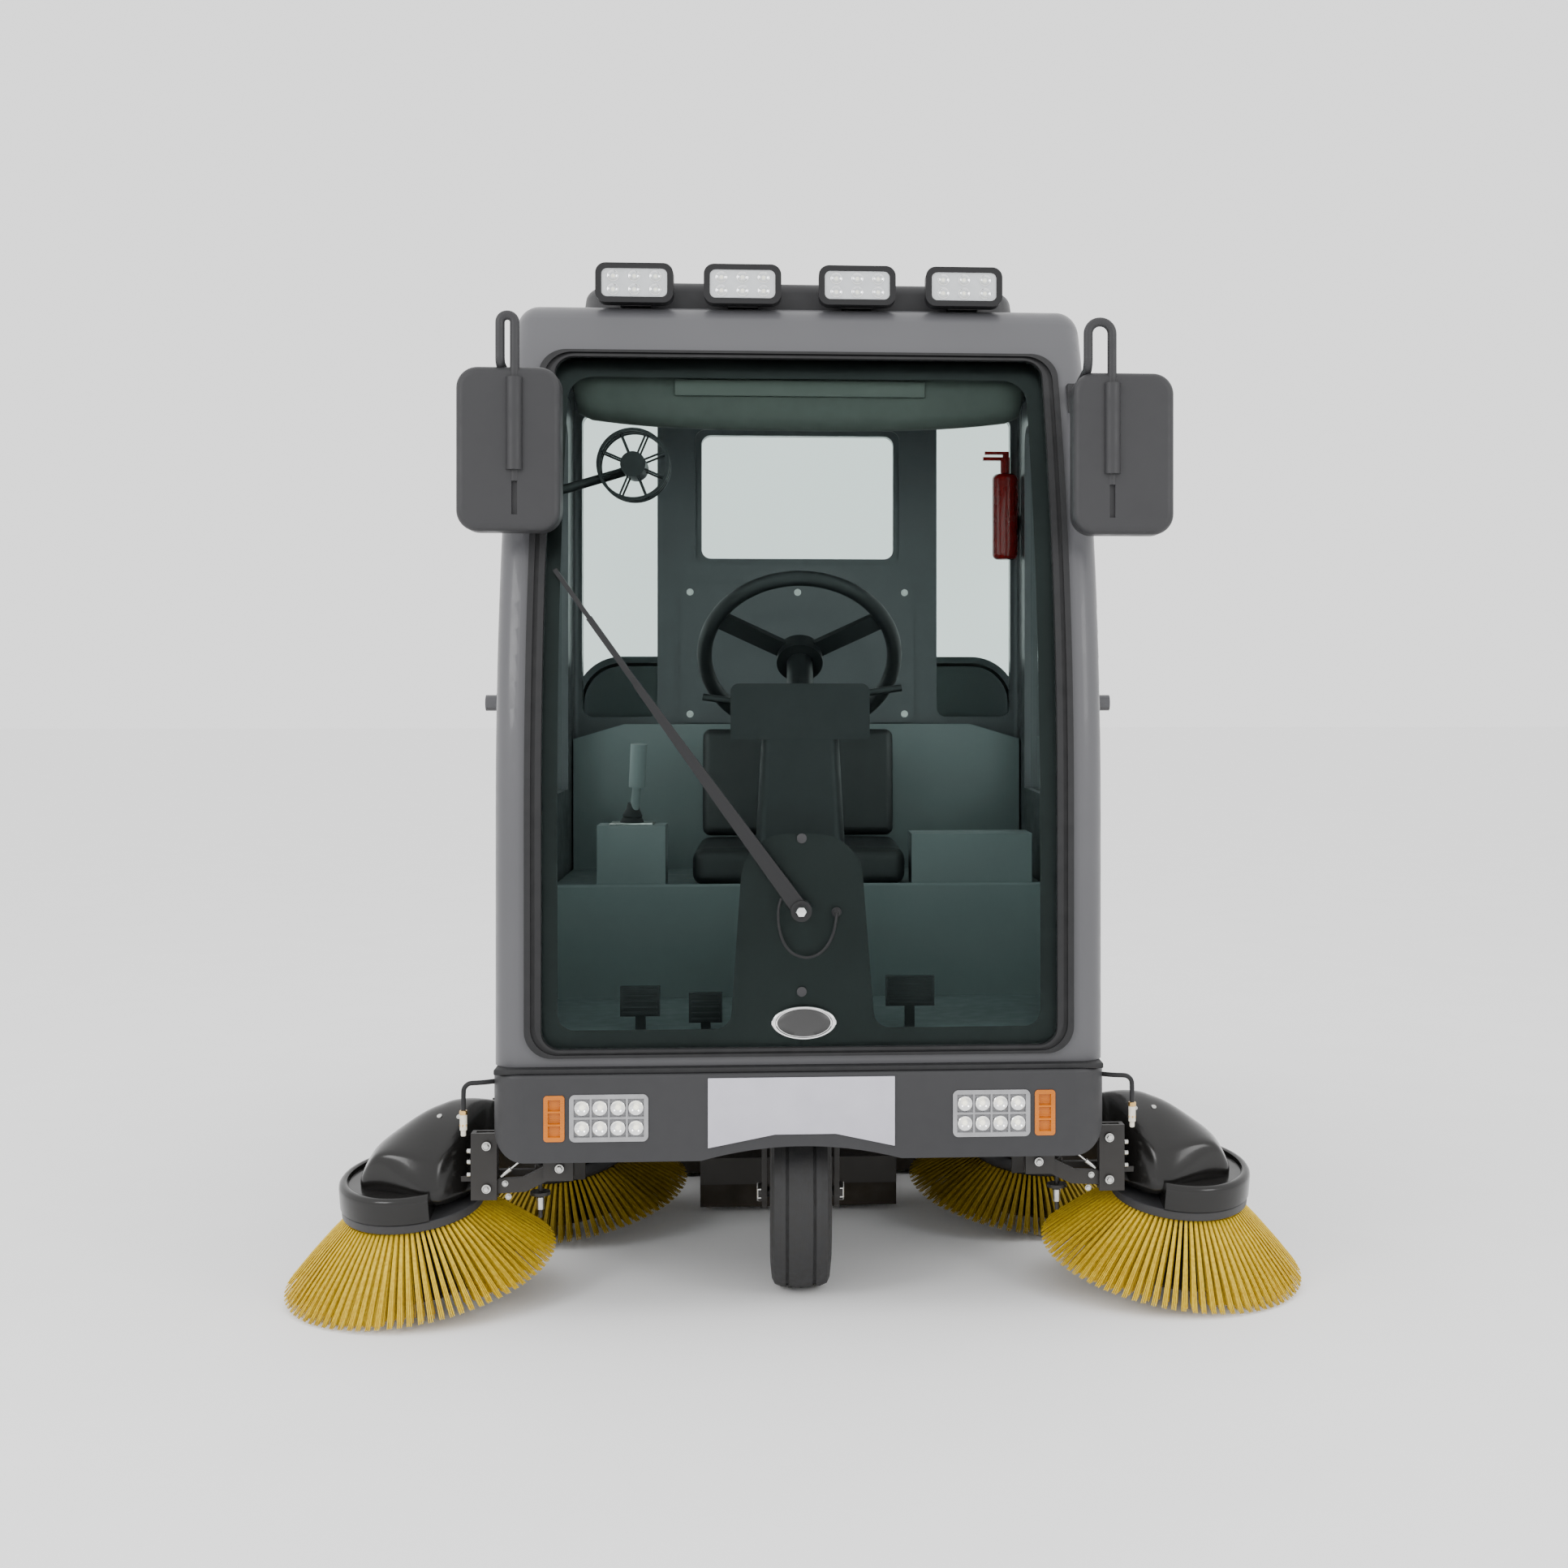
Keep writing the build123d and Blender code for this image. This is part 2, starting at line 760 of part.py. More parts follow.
# Fire extinguisher on the rear wall
bottle_x, bottle_y, bottle_radius = 482, -96, 30
with BuildPart() as extinguisher:
    bar((bottle_x, bottle_y, 1432), (bottle_x, bottle_y, 1632), bottle_radius)
    fillet(extinguisher.edges().filter_by(GeomType.CIRCLE), 14)
    bar((bottle_x, bottle_y, 1625), (bottle_x, bottle_y, 1668), 11)
    slab((bottle_x - 52, bottle_x + 10), (bottle_y - 8, bottle_y + 8), (1662, 1670))
    slab((bottle_x - 48, bottle_x + 8), (bottle_y - 7, bottle_y + 7), (1676, 1683))
    slab((bottle_x - 6, bottle_x + 8), (bottle_y - 7, bottle_y + 7), (1660, 1680))
    slab((bottle_x - 12, bottle_x + 12), (bottle_y + 20, wall_inner_y - fit_gap), (1500, 1540))
    slab((bottle_x - 12, bottle_x + 24), (wall_inner_y - 5, wall_inner_y - fit_gap), (1500, 1540))
write(extinguisher.part, "extinguisher")


# ------------------------------------------------------------------ frame
head_tube_low_z = 372
kingpin_radius = 25
head_tube_radius = 44
beam_y = (-1045, -990)
beam_half_width = 478
cross_beam_y = (trail_pivot_y - 25, trail_pivot_y + 25)
cross_beam_low_z = 338
tow_bore_radius = 12
tow_y = 1145
tow_z = (212, 232)
hanger_size = (40, 30)
hanger_y = (-16, 212)
rail_inner, rail_outer = rail_x - rail_width / 2, rail_x + rail_width / 2
clevis_half = link_bar / 2 + clevis_gap

with BuildPart() as frame_rails:
    for side in (-1, 1):
        slab(
            sorted((side * rail_inner, side * rail_outer)),
            (beam_y[1], rail_rear_y),
            (rail_low_z, frame_top_z),
        )
write(frame_rails.part, "frame_rails")

with BuildPart() as chassis_frame:
    for y in (-640, 300, rail_rear_y - 40):
        slab((-rail_inner, rail_inner), (y, y + 40), (rail_low_z, frame_top_z))
    # Front beam that carries both brush linkages, and the bumper stays on it
    slab((-beam_half_width, beam_half_width), beam_y, (rail_low_z, frame_top_z))
    for side in (-1, 1):
        slab(
            sorted((side * 190, side * 250)),
            (bumper_front_y + bumper_wall, beam_y[0]),
            (rail_low_z + 6, rail_low_z + 36),
        )
        # Clevis plates down to the two inner pivots of each linkage
        for plate in (-1, 1):
            near = link_y + plate * clevis_half
            far = link_y + plate * (clevis_half + clevis_plate)
            slab(
                sorted((side * (link_inner_x - 24), side * (link_inner_x + 30))),
                sorted((near, far)),
                (link_inner_z - 24, rail_low_z + 1),
            )
        for z in (link_inner_z, link_inner_z + link_rise):
            pin_x = side * link_inner_x
            reach = clevis_half + clevis_plate + 6
            bar((pin_x, link_y - reach, z), (pin_x, link_y + reach, z), link_pin_radius)
        # Hangers of the roller housing
        for y in hanger_y:
            slab(
                (side * rail_x - hanger_size[0] / 2, side * rail_x + hanger_size[0] / 2),
                (y - hanger_size[1] / 2, y + hanger_size[1] / 2),
                (housing_top_z, rail_low_z),
            )
        # Clevis and pin of the trailing arm of the rear side brush
        for plate in (-1, 1):
            near = side * rear_brush_x + plate * (trail_arm_width / 2 + clevis_gap)
            far = side * rear_brush_x + plate * (trail_arm_width / 2 + clevis_gap + clevis_plate)
            slab(
                sorted((near, far)),
                (trail_pivot_y - 22, trail_pivot_y + 22),
                (trail_pivot_z - 22, cross_beam_low_z + 1),
            )
        reach = trail_arm_width / 2 + clevis_gap + clevis_plate + 5
        bar(
            (side * rear_brush_x - reach, trail_pivot_y, trail_pivot_z),
            (side * rear_brush_x + reach, trail_pivot_y, trail_pivot_z),
            link_pin_radius,
        )
    cross_half = rear_brush_x + trail_arm_width / 2 + clevis_gap + clevis_plate
    slab((-cross_half, cross_half), cross_beam_y, (cross_beam_low_z, rail_low_z))
    # Steering head: plate between the rails and the bored head tube
    slab((-rail_inner, rail_inner), (beam_y[1] - 1, kingpin_y + 70), (frame_top_z - 14, frame_top_z))
    bar((0, kingpin_y, head_tube_low_z), (0, kingpin_y, frame_top_z), head_tube_radius)
    bar(
        (0, kingpin_y, head_tube_low_z - 1),
        (0, kingpin_y, frame_top_z - 1),
        kingpin_radius + pin_clearance,
        mode=Mode.SUBTRACT,
    )
    # Tow jaw under the tail
    slab((-38, 38), (rail_rear_y - 40, rail_rear_y - 24), (tow_z[0], rail_low_z + 1))
    slab((-38, 38), (rail_rear_y - 40, tow_y), tow_z)
    bar((0, tow_y, tow_z[0]), (0, tow_y, tow_z[1]), 30)
    bar((0, tow_y, tow_z[0] - 1), (0, tow_y, tow_z[1] + 1), tow_bore_radius, mode=Mode.SUBTRACT)
    # Stand-offs that carry the rear axle
    for side in (-1, 1):
        slab(
            (side * rail_x - 22, side * rail_x + 22),
            (rear_axle_y - 40, rear_axle_y + 40),
            (rear_wheel_radius + 35, rail_low_z),
        )
write(chassis_frame.part, "chassis_frame")

# Rear axle with its drive motor in the middle
stub_radius = 20
hub_reach = rear_track / 2 + 20
with BuildPart() as rear_axle:
    bar((-360, rear_axle_y, rear_wheel_radius), (360, rear_axle_y, rear_wheel_radius), 34.5)
    bar(
        (-hub_reach, rear_axle_y, rear_wheel_radius),
        (hub_reach, rear_axle_y, rear_wheel_radius),
        stub_radius,
    )
    bar((-95, rear_axle_y, rear_wheel_radius), (70, rear_axle_y, rear_wheel_radius), 92)
    bar(
        (-95, rear_axle_y - 60, rear_wheel_radius + 40),
        (170, rear_axle_y - 60, rear_wheel_radius + 40),
        70,
    )
    for side in (-1, 1):
        slab(
            (side * rail_x - 30, side * rail_x + 30),
            (rear_axle_y - 45, rear_axle_y + 45),
            (rear_wheel_radius + 20, rear_wheel_radius + 35),
        )
write(rear_axle.part, "rear_axle")

# Front fork: crown, stem, two side plates and the axle with its nuts
fork_inner = front_wheel_width / 2 + 6
fork_plate = 10
crown_z = (front_wheel_radius * 2 + 7, head_tube_low_z - 2)
with BuildPart() as front_fork:
    with BuildSketch(Plane.XY.offset(crown_z[0])):
        with Locations((0, kingpin_y)):
            RectangleRounded(2 * (fork_inner + fork_plate), 120, 16)
    extrude(amount=crown_z[1] - crown_z[0])
    bar((0, kingpin_y, crown_z[0]), (0, kingpin_y, frame_top_z - 6), kingpin_radius)
    for side in (-1, 1):
        with BuildSketch(Plane.YZ.offset(side * fork_inner - (fork_plate if side < 0 else 0))):
            with BuildLine():
                Polyline(
                    (kingpin_y - 56, crown_z[1]),
                    (kingpin_y + 56, crown_z[1]),
                    (front_axle_y + 30, front_wheel_radius),
                    (front_axle_y - 30, front_wheel_radius),
                    close=True,
                )
            make_face()
            with Locations((front_axle_y, front_wheel_radius)):
                Circle(30)
        extrude(amount=fork_plate)
    nut_end = fork_inner + fork_plate + 9
    bar((-nut_end, front_axle_y, front_wheel_radius), (nut_end, front_axle_y, front_wheel_radius), 10)
    for side in (-1, 1):
        bar(
            (side * (fork_inner + fork_plate), front_axle_y, front_wheel_radius),
            (side * (nut_end - 2), front_axle_y, front_wheel_radius),
            17,
        )
write(front_fork.part, "front_fork")


# ------------------------------------------------------------------ wheels
def tyre(radius, width, rim_radius, middle, grooves):
    """Tyre revolved about its axle, with round shoulders and ring grooves in the tread."""
    half = width / 2
    shoulder = 0.16 * width
    with BuildPart() as body:
        with BuildSketch(Plane(middle, x_dir=(1, 0, 0), z_dir=(0, -1, 0))):
            with BuildLine():
                profile = [
                    (half - 12, rim_radius),
                    (half - 1.5, rim_radius + 14),
                    (half, (rim_radius + radius - shoulder) / 2),
                    (half - 3, radius - shoulder),
                    (half - 3 - 0.29 * shoulder, radius - 2 - 0.29 * shoulder),
                    (half - 3 - shoulder, radius - 2),
                ]
                Polyline(*profile, (0, radius), *[(-x, z) for x, z in reversed(profile)], close=True)
            make_face()
            for x in grooves:
                with Locations((x, radius)):
                    Rectangle(6, 12, mode=Mode.SUBTRACT)
        revolve(axis=Axis(middle, (1, 0, 0)))
    return body.part


def rim(radius, width, middle, bore, dish):
    """Pressed wheel: barrel, dished disc and bored hub."""
    half = width / 2 - 12
    barrel = 7
    with BuildPart() as body:
        with BuildSketch(Plane(middle, x_dir=(1, 0, 0), z_dir=(0, -1, 0))):
            with Locations((0, radius - barrel / 2)):
                Rectangle(2 * half, barrel)
            with Locations((dish, (radius + bore) / 2 - 2)):
                Rectangle(9, radius - bore - 8)
            with Locations((0, (bore + 34) / 2)):
                Rectangle(2 * half, 34 - bore)
        revolve(axis=Axis(middle, (1, 0, 0)))
    return body.part


front_rim_radius = 102
rear_rim_radius = 118
front_middle = (0, front_axle_y, front_wheel_radius)
write(
    tyre(front_wheel_radius, front_wheel_width, front_rim_radius + 0.3, front_middle, (-25, 25)),
    "front_tyre",
)
write(rim(front_rim_radius, front_wheel_width, front_middle, 10 + pin_clearance, 0), "front_rim")
for side, name in ((-1, "left"), (1, "right")):
    middle = (side * rear_track / 2, rear_axle_y, rear_wheel_radius)
    write(
        tyre(rear_wheel_radius, rear_wheel_width, rear_rim_radius + 0.3, middle, (-36, -12, 12, 36)),
        f"rear_tyre_{name}",
    )
    write(
        rim(rear_rim_radius, rear_wheel_width, middle, stub_radius + pin_clearance, side * 22),
        f"rear_rim_{name}",
    )


# ------------------------------------------------------------------ bumper and its lamps
with BuildPart() as front_bumper:
    with BuildSketch(Plane.XY.offset(bumper_low_z)) as plan:
        with BuildLine():
            Polyline(
                (-cab_half_width, bumper_rear_y),
                (-cab_half_width, bumper_front_y),
                (cab_half_width, bumper_front_y),
                (cab_half_width, bumper_rear_y),
                close=True,
            )
        make_face()
        fillet(plan.vertices().group_by(Axis.Y)[0], bumper_corner - 4)
    extrude(amount=bumper_high_z - bumper_low_z)
    top_rim = front_bumper.faces().sort_by(Axis.Z)[-1].edges()
    fillet(top_rim.sort_by(Axis.Y)[:-1], bumper_edge_radius)
    # Outline from the front: round lower corners and the rise over the wheel
    with BuildSketch(across(bumper_rear_y + 1)) as front_view:
        with BuildLine():
            top = Line((-cab_half_width, bumper_high_z), (cab_half_width, bumper_high_z))
            down = Line(top @ 1, (cab_half_width, bumper_low_z))
            right = Line(down @ 1, (180, bumper_low_z))
            rise = ThreePointArc(right @ 1, (0, bumper_low_z + 24), (-180, bumper_low_z))
            left = Line(rise @ 1, (-cab_half_width, bumper_low_z))
            Line(left @ 1, top @ 0)
        make_face()
        corners = front_view.vertices().filter_by_position(Axis.Y, bumper_low_z - 1, bumper_low_z + 1)
        fillet(corners.group_by(Axis.X)[0] + corners.group_by(Axis.X)[-1], bumper_corner)
    extrude(amount=200, mode=Mode.INTERSECT)
    with BuildSketch(Plane.XY.offset(bumper_low_z - 1)) as hollow:
        with BuildLine():
            Polyline(
                (-cab_half_width + bumper_wall, bumper_rear_y + 1),
                (-cab_half_width + bumper_wall, bumper_front_y + bumper_wall),
                (cab_half_width - bumper_wall, bumper_front_y + bumper_wall),
                (cab_half_width - bumper_wall, bumper_rear_y + 1),
                close=True,
            )
        make_face()
        fillet(hollow.vertices().group_by(Axis.Y)[0], bumper_corner - 4 - bumper_wall)
    extrude(amount=bumper_high_z, mode=Mode.SUBTRACT)
    for side in (-1, 1):
        for x, size, corner in ((headlamp_x, headlamp_size, 10), (indicator_x, indicator_size, 6)):
            width, height = size
            add(
                front_prism(
                    width / 2 + fit_gap, headlamp_z - height / 2 - fit_gap,
                    headlamp_z + height / 2 + fit_gap,
                    corner, bumper_front_y + bumper_wall + 60, bumper_front_y - 5, side * x,
                ),
                mode=Mode.SUBTRACT,
            )
    # Two screw holes of the plate panel
    for x in (-plate_hole_spacing / 2, plate_hole_spacing / 2):
        bar(
            (x, bumper_front_y - 1, plate_hole_z),
            (x, bumper_front_y + bumper_wall + 1, plate_hole_z),
            plate_hole_radius,
            mode=Mode.SUBTRACT,
        )
write(front_bumper.part, "front_bumper")


def lamp_block(x, size, corner, cells):
    """Lamp filling its cut-out in the bumper, with a grid of reflector cells."""
    width, height = size
    front = bumper_front_y - 2
    with BuildPart() as lamp:
        add(
            front_prism(
                width / 2, headlamp_z - height / 2, headlamp_z + height / 2, corner,
                bumper_front_y + lamp_depth, front, x,
            )
        )
        columns, rows = cells
        cell_width, cell_height = (width - 12) / columns, (height - 12) / rows
        with BuildSketch(across(front - 0.5)):
            with Locations((x, headlamp_z)):
                with GridLocations(cell_width, cell_height, columns, rows):
                    Rectangle(cell_width - 3, cell_height - 3)
        extrude(amount=-7, taper=12, mode=Mode.SUBTRACT)
    return lamp.part


with BuildPart() as headlamps:
    for side in (-1, 1):
        add(lamp_block(side * headlamp_x, headlamp_size, 10, (4, 2)))
write(headlamps.part, "headlamps")

with BuildPart() as indicator_lamps:
    for side in (-1, 1):
        add(lamp_block(side * indicator_x, indicator_size, 6, (1, 3)))
write(indicator_lamps.part, "indicator_lamps")

# Rigid water pipes from the body sides to the nozzles over the front brushes
pipe_y = -1078
with BuildPart() as spray_pipes:
    for side in (-1, 1):
        with BuildLine() as route:
            FilletPolyline(
                (side * cab_half_width, bumper_rear_y - 9, 428),
                (side * (cab_half_width + 24), bumper_rear_y - 9, 428),
                (side * (cab_half_width + 52), pipe_y, 388),
                (side * (cab_half_width + 52), pipe_y, 350),
                radius=18,
            )
        with BuildSketch(Plane(route.line @ 0, z_dir=route.line % 0)):
            Circle(6)
        sweep()
        bar((side * (cab_half_width + 52), pipe_y, 352), (side * (cab_half_width + 52), pipe_y, 330), 9)
        bar((side * (cab_half_width + 52), pipe_y, 331), (side * (cab_half_width + 52), pipe_y, 312), 6)
write(spray_pipes.part, "spray_pipes")


# ------------------------------------------------------------------ side brushes
tilt_x, tilt_y = sin(radians(brush_tilt_outward)), -sin(radians(brush_tilt_forward))
tilt_drop = brush_radius * sqrt(tilt_x**2 + tilt_y**2)
brush_centre_z = tip_clearance + tilt_drop
brush_shaft_radius = 12
brush_ring_top = brush_ring_low + brush_ring_height
cover_low = brush_ring_top + 7
cover_radius = brush_ring_radius + 8
cover_top = 186
cover_wall = 5
motor_radius = 48
motor_top = 214
# Bristle rows: root radius, tip radius, turn of the row in pitches
tuft_rows = ((110, 235, 0), (86, 197, 0.5))


def brush_plane(side, x, y):
    """Frame of a side brush: origin in the circle of its tips, local z up its shaft."""
    return Plane(
        (side * x, y, brush_centre_z),
        x_dir=(1, 0, -side * tilt_x),
        z_dir=(side * tilt_x, tilt_y, sqrt(1 - tilt_x**2 - tilt_y**2)),
    )


def side_brush():
    """Ring with splayed bristle tufts, trimmed flat at the tips, in the brush's own frame."""
    with BuildPart() as brush:
        with Locations((0, 0, brush_ring_low)):
            Cylinder(
                brush_ring_radius,
                brush_ring_height,
                align=(Align.CENTER, Align.CENTER, Align.MIN),
            )
        for root_radius, tip_radius, turn in tuft_rows:
            lean = Vector(tip_radius - root_radius, 0, -brush_ring_low)
            with BuildPart(mode=Mode.PRIVATE) as tuft:
                root = Plane((root_radius, 0, brush_ring_low), x_dir=(0, 1, 0), z_dir=lean)
                with BuildSketch(root.offset(-4)):
                    Rectangle(13, 10)
                extrude(amount=lean.length + 16, taper=-1.6)
                slab((0, 400), (-50, 50), (-60, 0), mode=Mode.SUBTRACT)
            with PolarLocations(0, tuft_count, start_angle=turn * 360 / tuft_count):
                add(tuft.part)
        bar(
            (0, 0, brush_ring_low - 1),
            (0, 0, brush_ring_top + 1),
            brush_shaft_radius + pin_clearance,
            mode=Mode.SUBTRACT,
        )
    return brush.part


brush = side_brush()


def motor_and_shaft():
    """Brush motor and its shaft down into the brush, in the brush's own frame."""
    with BuildPart() as motor:
        bar((0, 0, cover_low), (0, 0, motor_top), motor_radius)
        bar((0, 0, brush_ring_low + 4), (0, 0, cover_low), brush_shaft_radius)
        bar((0, 0, brush_ring_top + 0.5), (0, 0, cover_low), 22)
    return motor.part


def cover_dome(inset):
    """Dome over the brush ring, in the brush's own frame, every face drawn in by the inset."""
    low = cover_low - (1 if inset else 0)
    rim, top = cover_radius - inset, cover_top - inset
    with BuildPart() as dome:
        with BuildSketch(Plane.XZ):
            with BuildLine():
                Line((0, low), (rim, low))
                Line((rim, low), (rim, cover_low + 18))
                RadiusArc((rim, cover_low + 18), (rim - 48, top), -62)
                Line((rim - 48, top), (0, top))
                Line((0, top), (0, low))
            make_face()
        revolve(axis=Axis.Z)
    return dome.part


# Fairing of the front covers: outline seen from the front, from the outer end inwards
fairing_outline = (
    (842, 196),
    (822, 240),
    (785, 273),
    (730, 320),
    (676, 346),
    (633, 359),
    (577, 359),
    (577, 196),
)
fairing_y = (-980, -862)
head_plate_z = (226, 236)


def fairing(inset):
    """Hump of a front cover, from the dome inwards and up to the body side."""
    front, back = fairing_y[0] + inset, fairing_y[1] - inset
    inner_x = fairing_outline[-1][0]
    with BuildPart() as hump:
        with BuildSketch(across(back)) as outline:
            with BuildLine():
                Polyline(*fairing_outline, close=True)
            make_face()
            fillet(outline.vertices().filter_by_position(Axis.Y, 230, 350), 30)
            if inset:
                offset(amount=-inset)
                with Locations((inner_x, (fairing_outline[-1][1] + fairing_outline[-2][1]) / 2)):
                    Rectangle(30, fairing_outline[-2][1] - fairing_outline[-1][1] - 2 * inset)
        extrude(amount=back - front)
        if not inset:
            faces = hump.faces().filter_by(Axis.Y)
            rims = [e for e in faces.edges() if e.center().Z > 205 and abs(e.center().X - inner_x) > 1]
            fillet(rims, 9)
    return hump.part


def front_cover():
    """Moulded cover of the right-hand front brush: thin shell, open below and towards the body."""
    place = brush_plane(1, front_brush_x, front_brush_y).location
    with BuildPart() as cover:
        add(cover_dome(0).moved(place))
        add(fairing(0))
        add(cover_dome(cover_wall).moved(place), mode=Mode.SUBTRACT)
        add(fairing(cover_wall), mode=Mode.SUBTRACT)
        # Room for the motor and a slot for the plate that carries it
        with BuildPart(mode=Mode.PRIVATE) as core:
            bar((0, 0, cover_low), (0, 0, motor_top + cover_wall), motor_radius + cover_wall)
        add(core.part.moved(place), mode=Mode.SUBTRACT)
        slab(
            (link_outer_x, front_brush_x + 30 + fit_gap),
            (link_y - fit_gap, front_brush_y + 45 + fit_gap),
            (head_plate_z[0] - fit_gap, head_plate_z[1] + fit_gap),
            mode=Mode.SUBTRACT,
        )
        # Notch that lets the dome pass the clevis bracket
        slab(
            (link_outer_x - 20, link_outer_x + 31),
            (link_y - clevis_half - clevis_plate - 2, link_y + clevis_half + clevis_plate + 2),
            (link_outer_z - 26, link_outer_z + link_rise + 26),
            mode=Mode.SUBTRACT,
        )
    return cover.part



def front_head():
    """Right-hand brush head: clevis bracket, carrying plate, motor and height screw."""
    place = brush_plane(1, front_brush_x, front_brush_y).location
    low, high = link_outer_z - 22, link_outer_z + link_rise + 22
    reach = clevis_half + clevis_plate
    with BuildPart() as head:
        for plate in (-1, 1):
            slab(
                (link_outer_x - 18, link_outer_x + 29),
                sorted((link_y + plate * clevis_half, link_y + plate * reach)),
                (low, high),
            )
        slab((link_outer_x + 21, link_outer_x + 29), (link_y - reach, link_y + reach), (low, high))
        for z in (link_outer_z, link_outer_z + link_rise):
            bar(
                (link_outer_x, link_y - reach - 5, z),
                (link_outer_x, link_y + reach, z),
                link_pin_radius,
            )
        slab((link_outer_x + 21, front_brush_x + 30), (link_y, front_brush_y + 45), head_plate_z)
        add(motor_and_shaft().moved(place))
        # Height screw on an inboard bar, with its hand wheel
        screw_x, screw_y = 484, -950
        slab((screw_x - 10, link_outer_x + 24), (screw_y - 7, screw_y + 7), head_plate_z)
        bar((screw_x, screw_y, 145), (screw_x, screw_y, 256), 4)
        bar((screw_x, screw_y, 188), (screw_x, screw_y, 194), 19)
        bar((screw_x, screw_y, head_plate_z[0] - 8), (screw_x, screw_y, head_plate_z[1] + 8), 10)
    return head.part


def link_arm(points, width):
    """Flat bar through the given points with a bored eye at each end."""
    with BuildPart() as arm:
        with BuildSketch(across(link_y + link_bar / 2)):
            with BuildLine():
                Polyline(*points)
            trace(line_width=width)
            with Locations(points[0], points[-1]):
                Circle(link_eye_radius)
            with Locations(points[0], points[-1]):
                Circle(link_pin_radius + pin_clearance, mode=Mode.SUBTRACT)
        extrude(amount=link_bar)
    return arm.part


inner_low, outer_low = (link_inner_x, link_inner_z), (link_outer_x, link_outer_z)
inner_high = (link_inner_x, link_inner_z + link_rise)
outer_high = (link_outer_x, link_outer_z + link_rise)
lower_arm = link_arm((inner_low, (link_inner_x + 66, link_inner_z - 32), outer_low), 26)
upper_arm = link_arm((inner_high, outer_high), 24)
right_pieces = {
    "front_lower_arm": lower_arm,
    "front_upper_arm": upper_arm,
    "front_head": front_head(),
    "front_cover": front_cover(),
}
for name, piece in right_pieces.items():
    write(piece, f"{name}_right")
    write(piece.mirror(Plane.YZ), f"{name}_left")


def trailing_arm():
    """Right-hand rear brush arm: bar from its pivot, motor and dome cover."""
    place = brush_plane(1, rear_brush_x, rear_brush_y).location
    half = trail_arm_width / 2
    with BuildPart() as arm:
        slab(
            (rear_brush_x - half, rear_brush_x + half),
            (trail_pivot_y, rear_brush_y),
            (trail_pivot_z - 16, trail_pivot_z + 16),
        )
        bar(
            (rear_brush_x - half, trail_pivot_y, trail_pivot_z),
            (rear_brush_x + half, trail_pivot_y, trail_pivot_z),
            20,
        )
        bar(
            (rear_brush_x - half - 1, trail_pivot_y, trail_pivot_z),
            (rear_brush_x + half + 1, trail_pivot_y, trail_pivot_z),
            link_pin_radius + pin_clearance,
            mode=Mode.SUBTRACT,
        )
        add(motor_and_shaft().moved(place))
        with BuildPart(mode=Mode.PRIVATE) as dome:
            add(cover_dome(0))
            add(cover_dome(cover_wall), mode=Mode.SUBTRACT)
        add(dome.part.moved(place))
    return arm.part


rear_arm = trailing_arm()
write(rear_arm, "rear_brush_arm_right")
write(rear_arm.mirror(Plane.YZ), "rear_brush_arm_left")
for side, name in ((-1, "left"), (1, "right")):
    for position, x, y in (
        ("front", front_brush_x, front_brush_y),
        ("rear", rear_brush_x, rear_brush_y),
    ):
        write(brush.moved(brush_plane(side, x, y).location), f"{position}_brush_{name}")


# ------------------------------------------------------------------ main roller brush
roller_z = roller_radius + tip_clearance
housing_y = (roller_y - roller_radius - housing_clearance, roller_y + roller_radius + housing_clearance)
journal_radius = 15
roller_rows = 12
with BuildPart() as main_roller:
    bar(
        (-roller_half_length, roller_y, roller_z),
        (roller_half_length, roller_y, roller_z),
        roller_core_radius,
    )
    journal = housing_half_width - 2
    bar((-journal, roller_y, roller_z), (journal, roller_y, roller_z), journal_radius)
    with BuildPart(mode=Mode.PRIVATE) as row:
        with BuildSketch(Plane.YZ.offset(-roller_half_length)):
            with BuildLine():
                Polyline((-7, roller_core_radius - 4), (7, roller_core_radius - 4), (13,
                roller_radius - 0.6),
                         (-13, roller_radius - 0.6), close=True)
            make_face()
        extrude(amount=2 * roller_half_length)
    for turn in range(roller_rows):
        add(row.part.rotate(Axis.X, 360 * turn / roller_rows).moved(Location((0, roller_y, roller_z))))
write(main_roller.part, "main_roller")

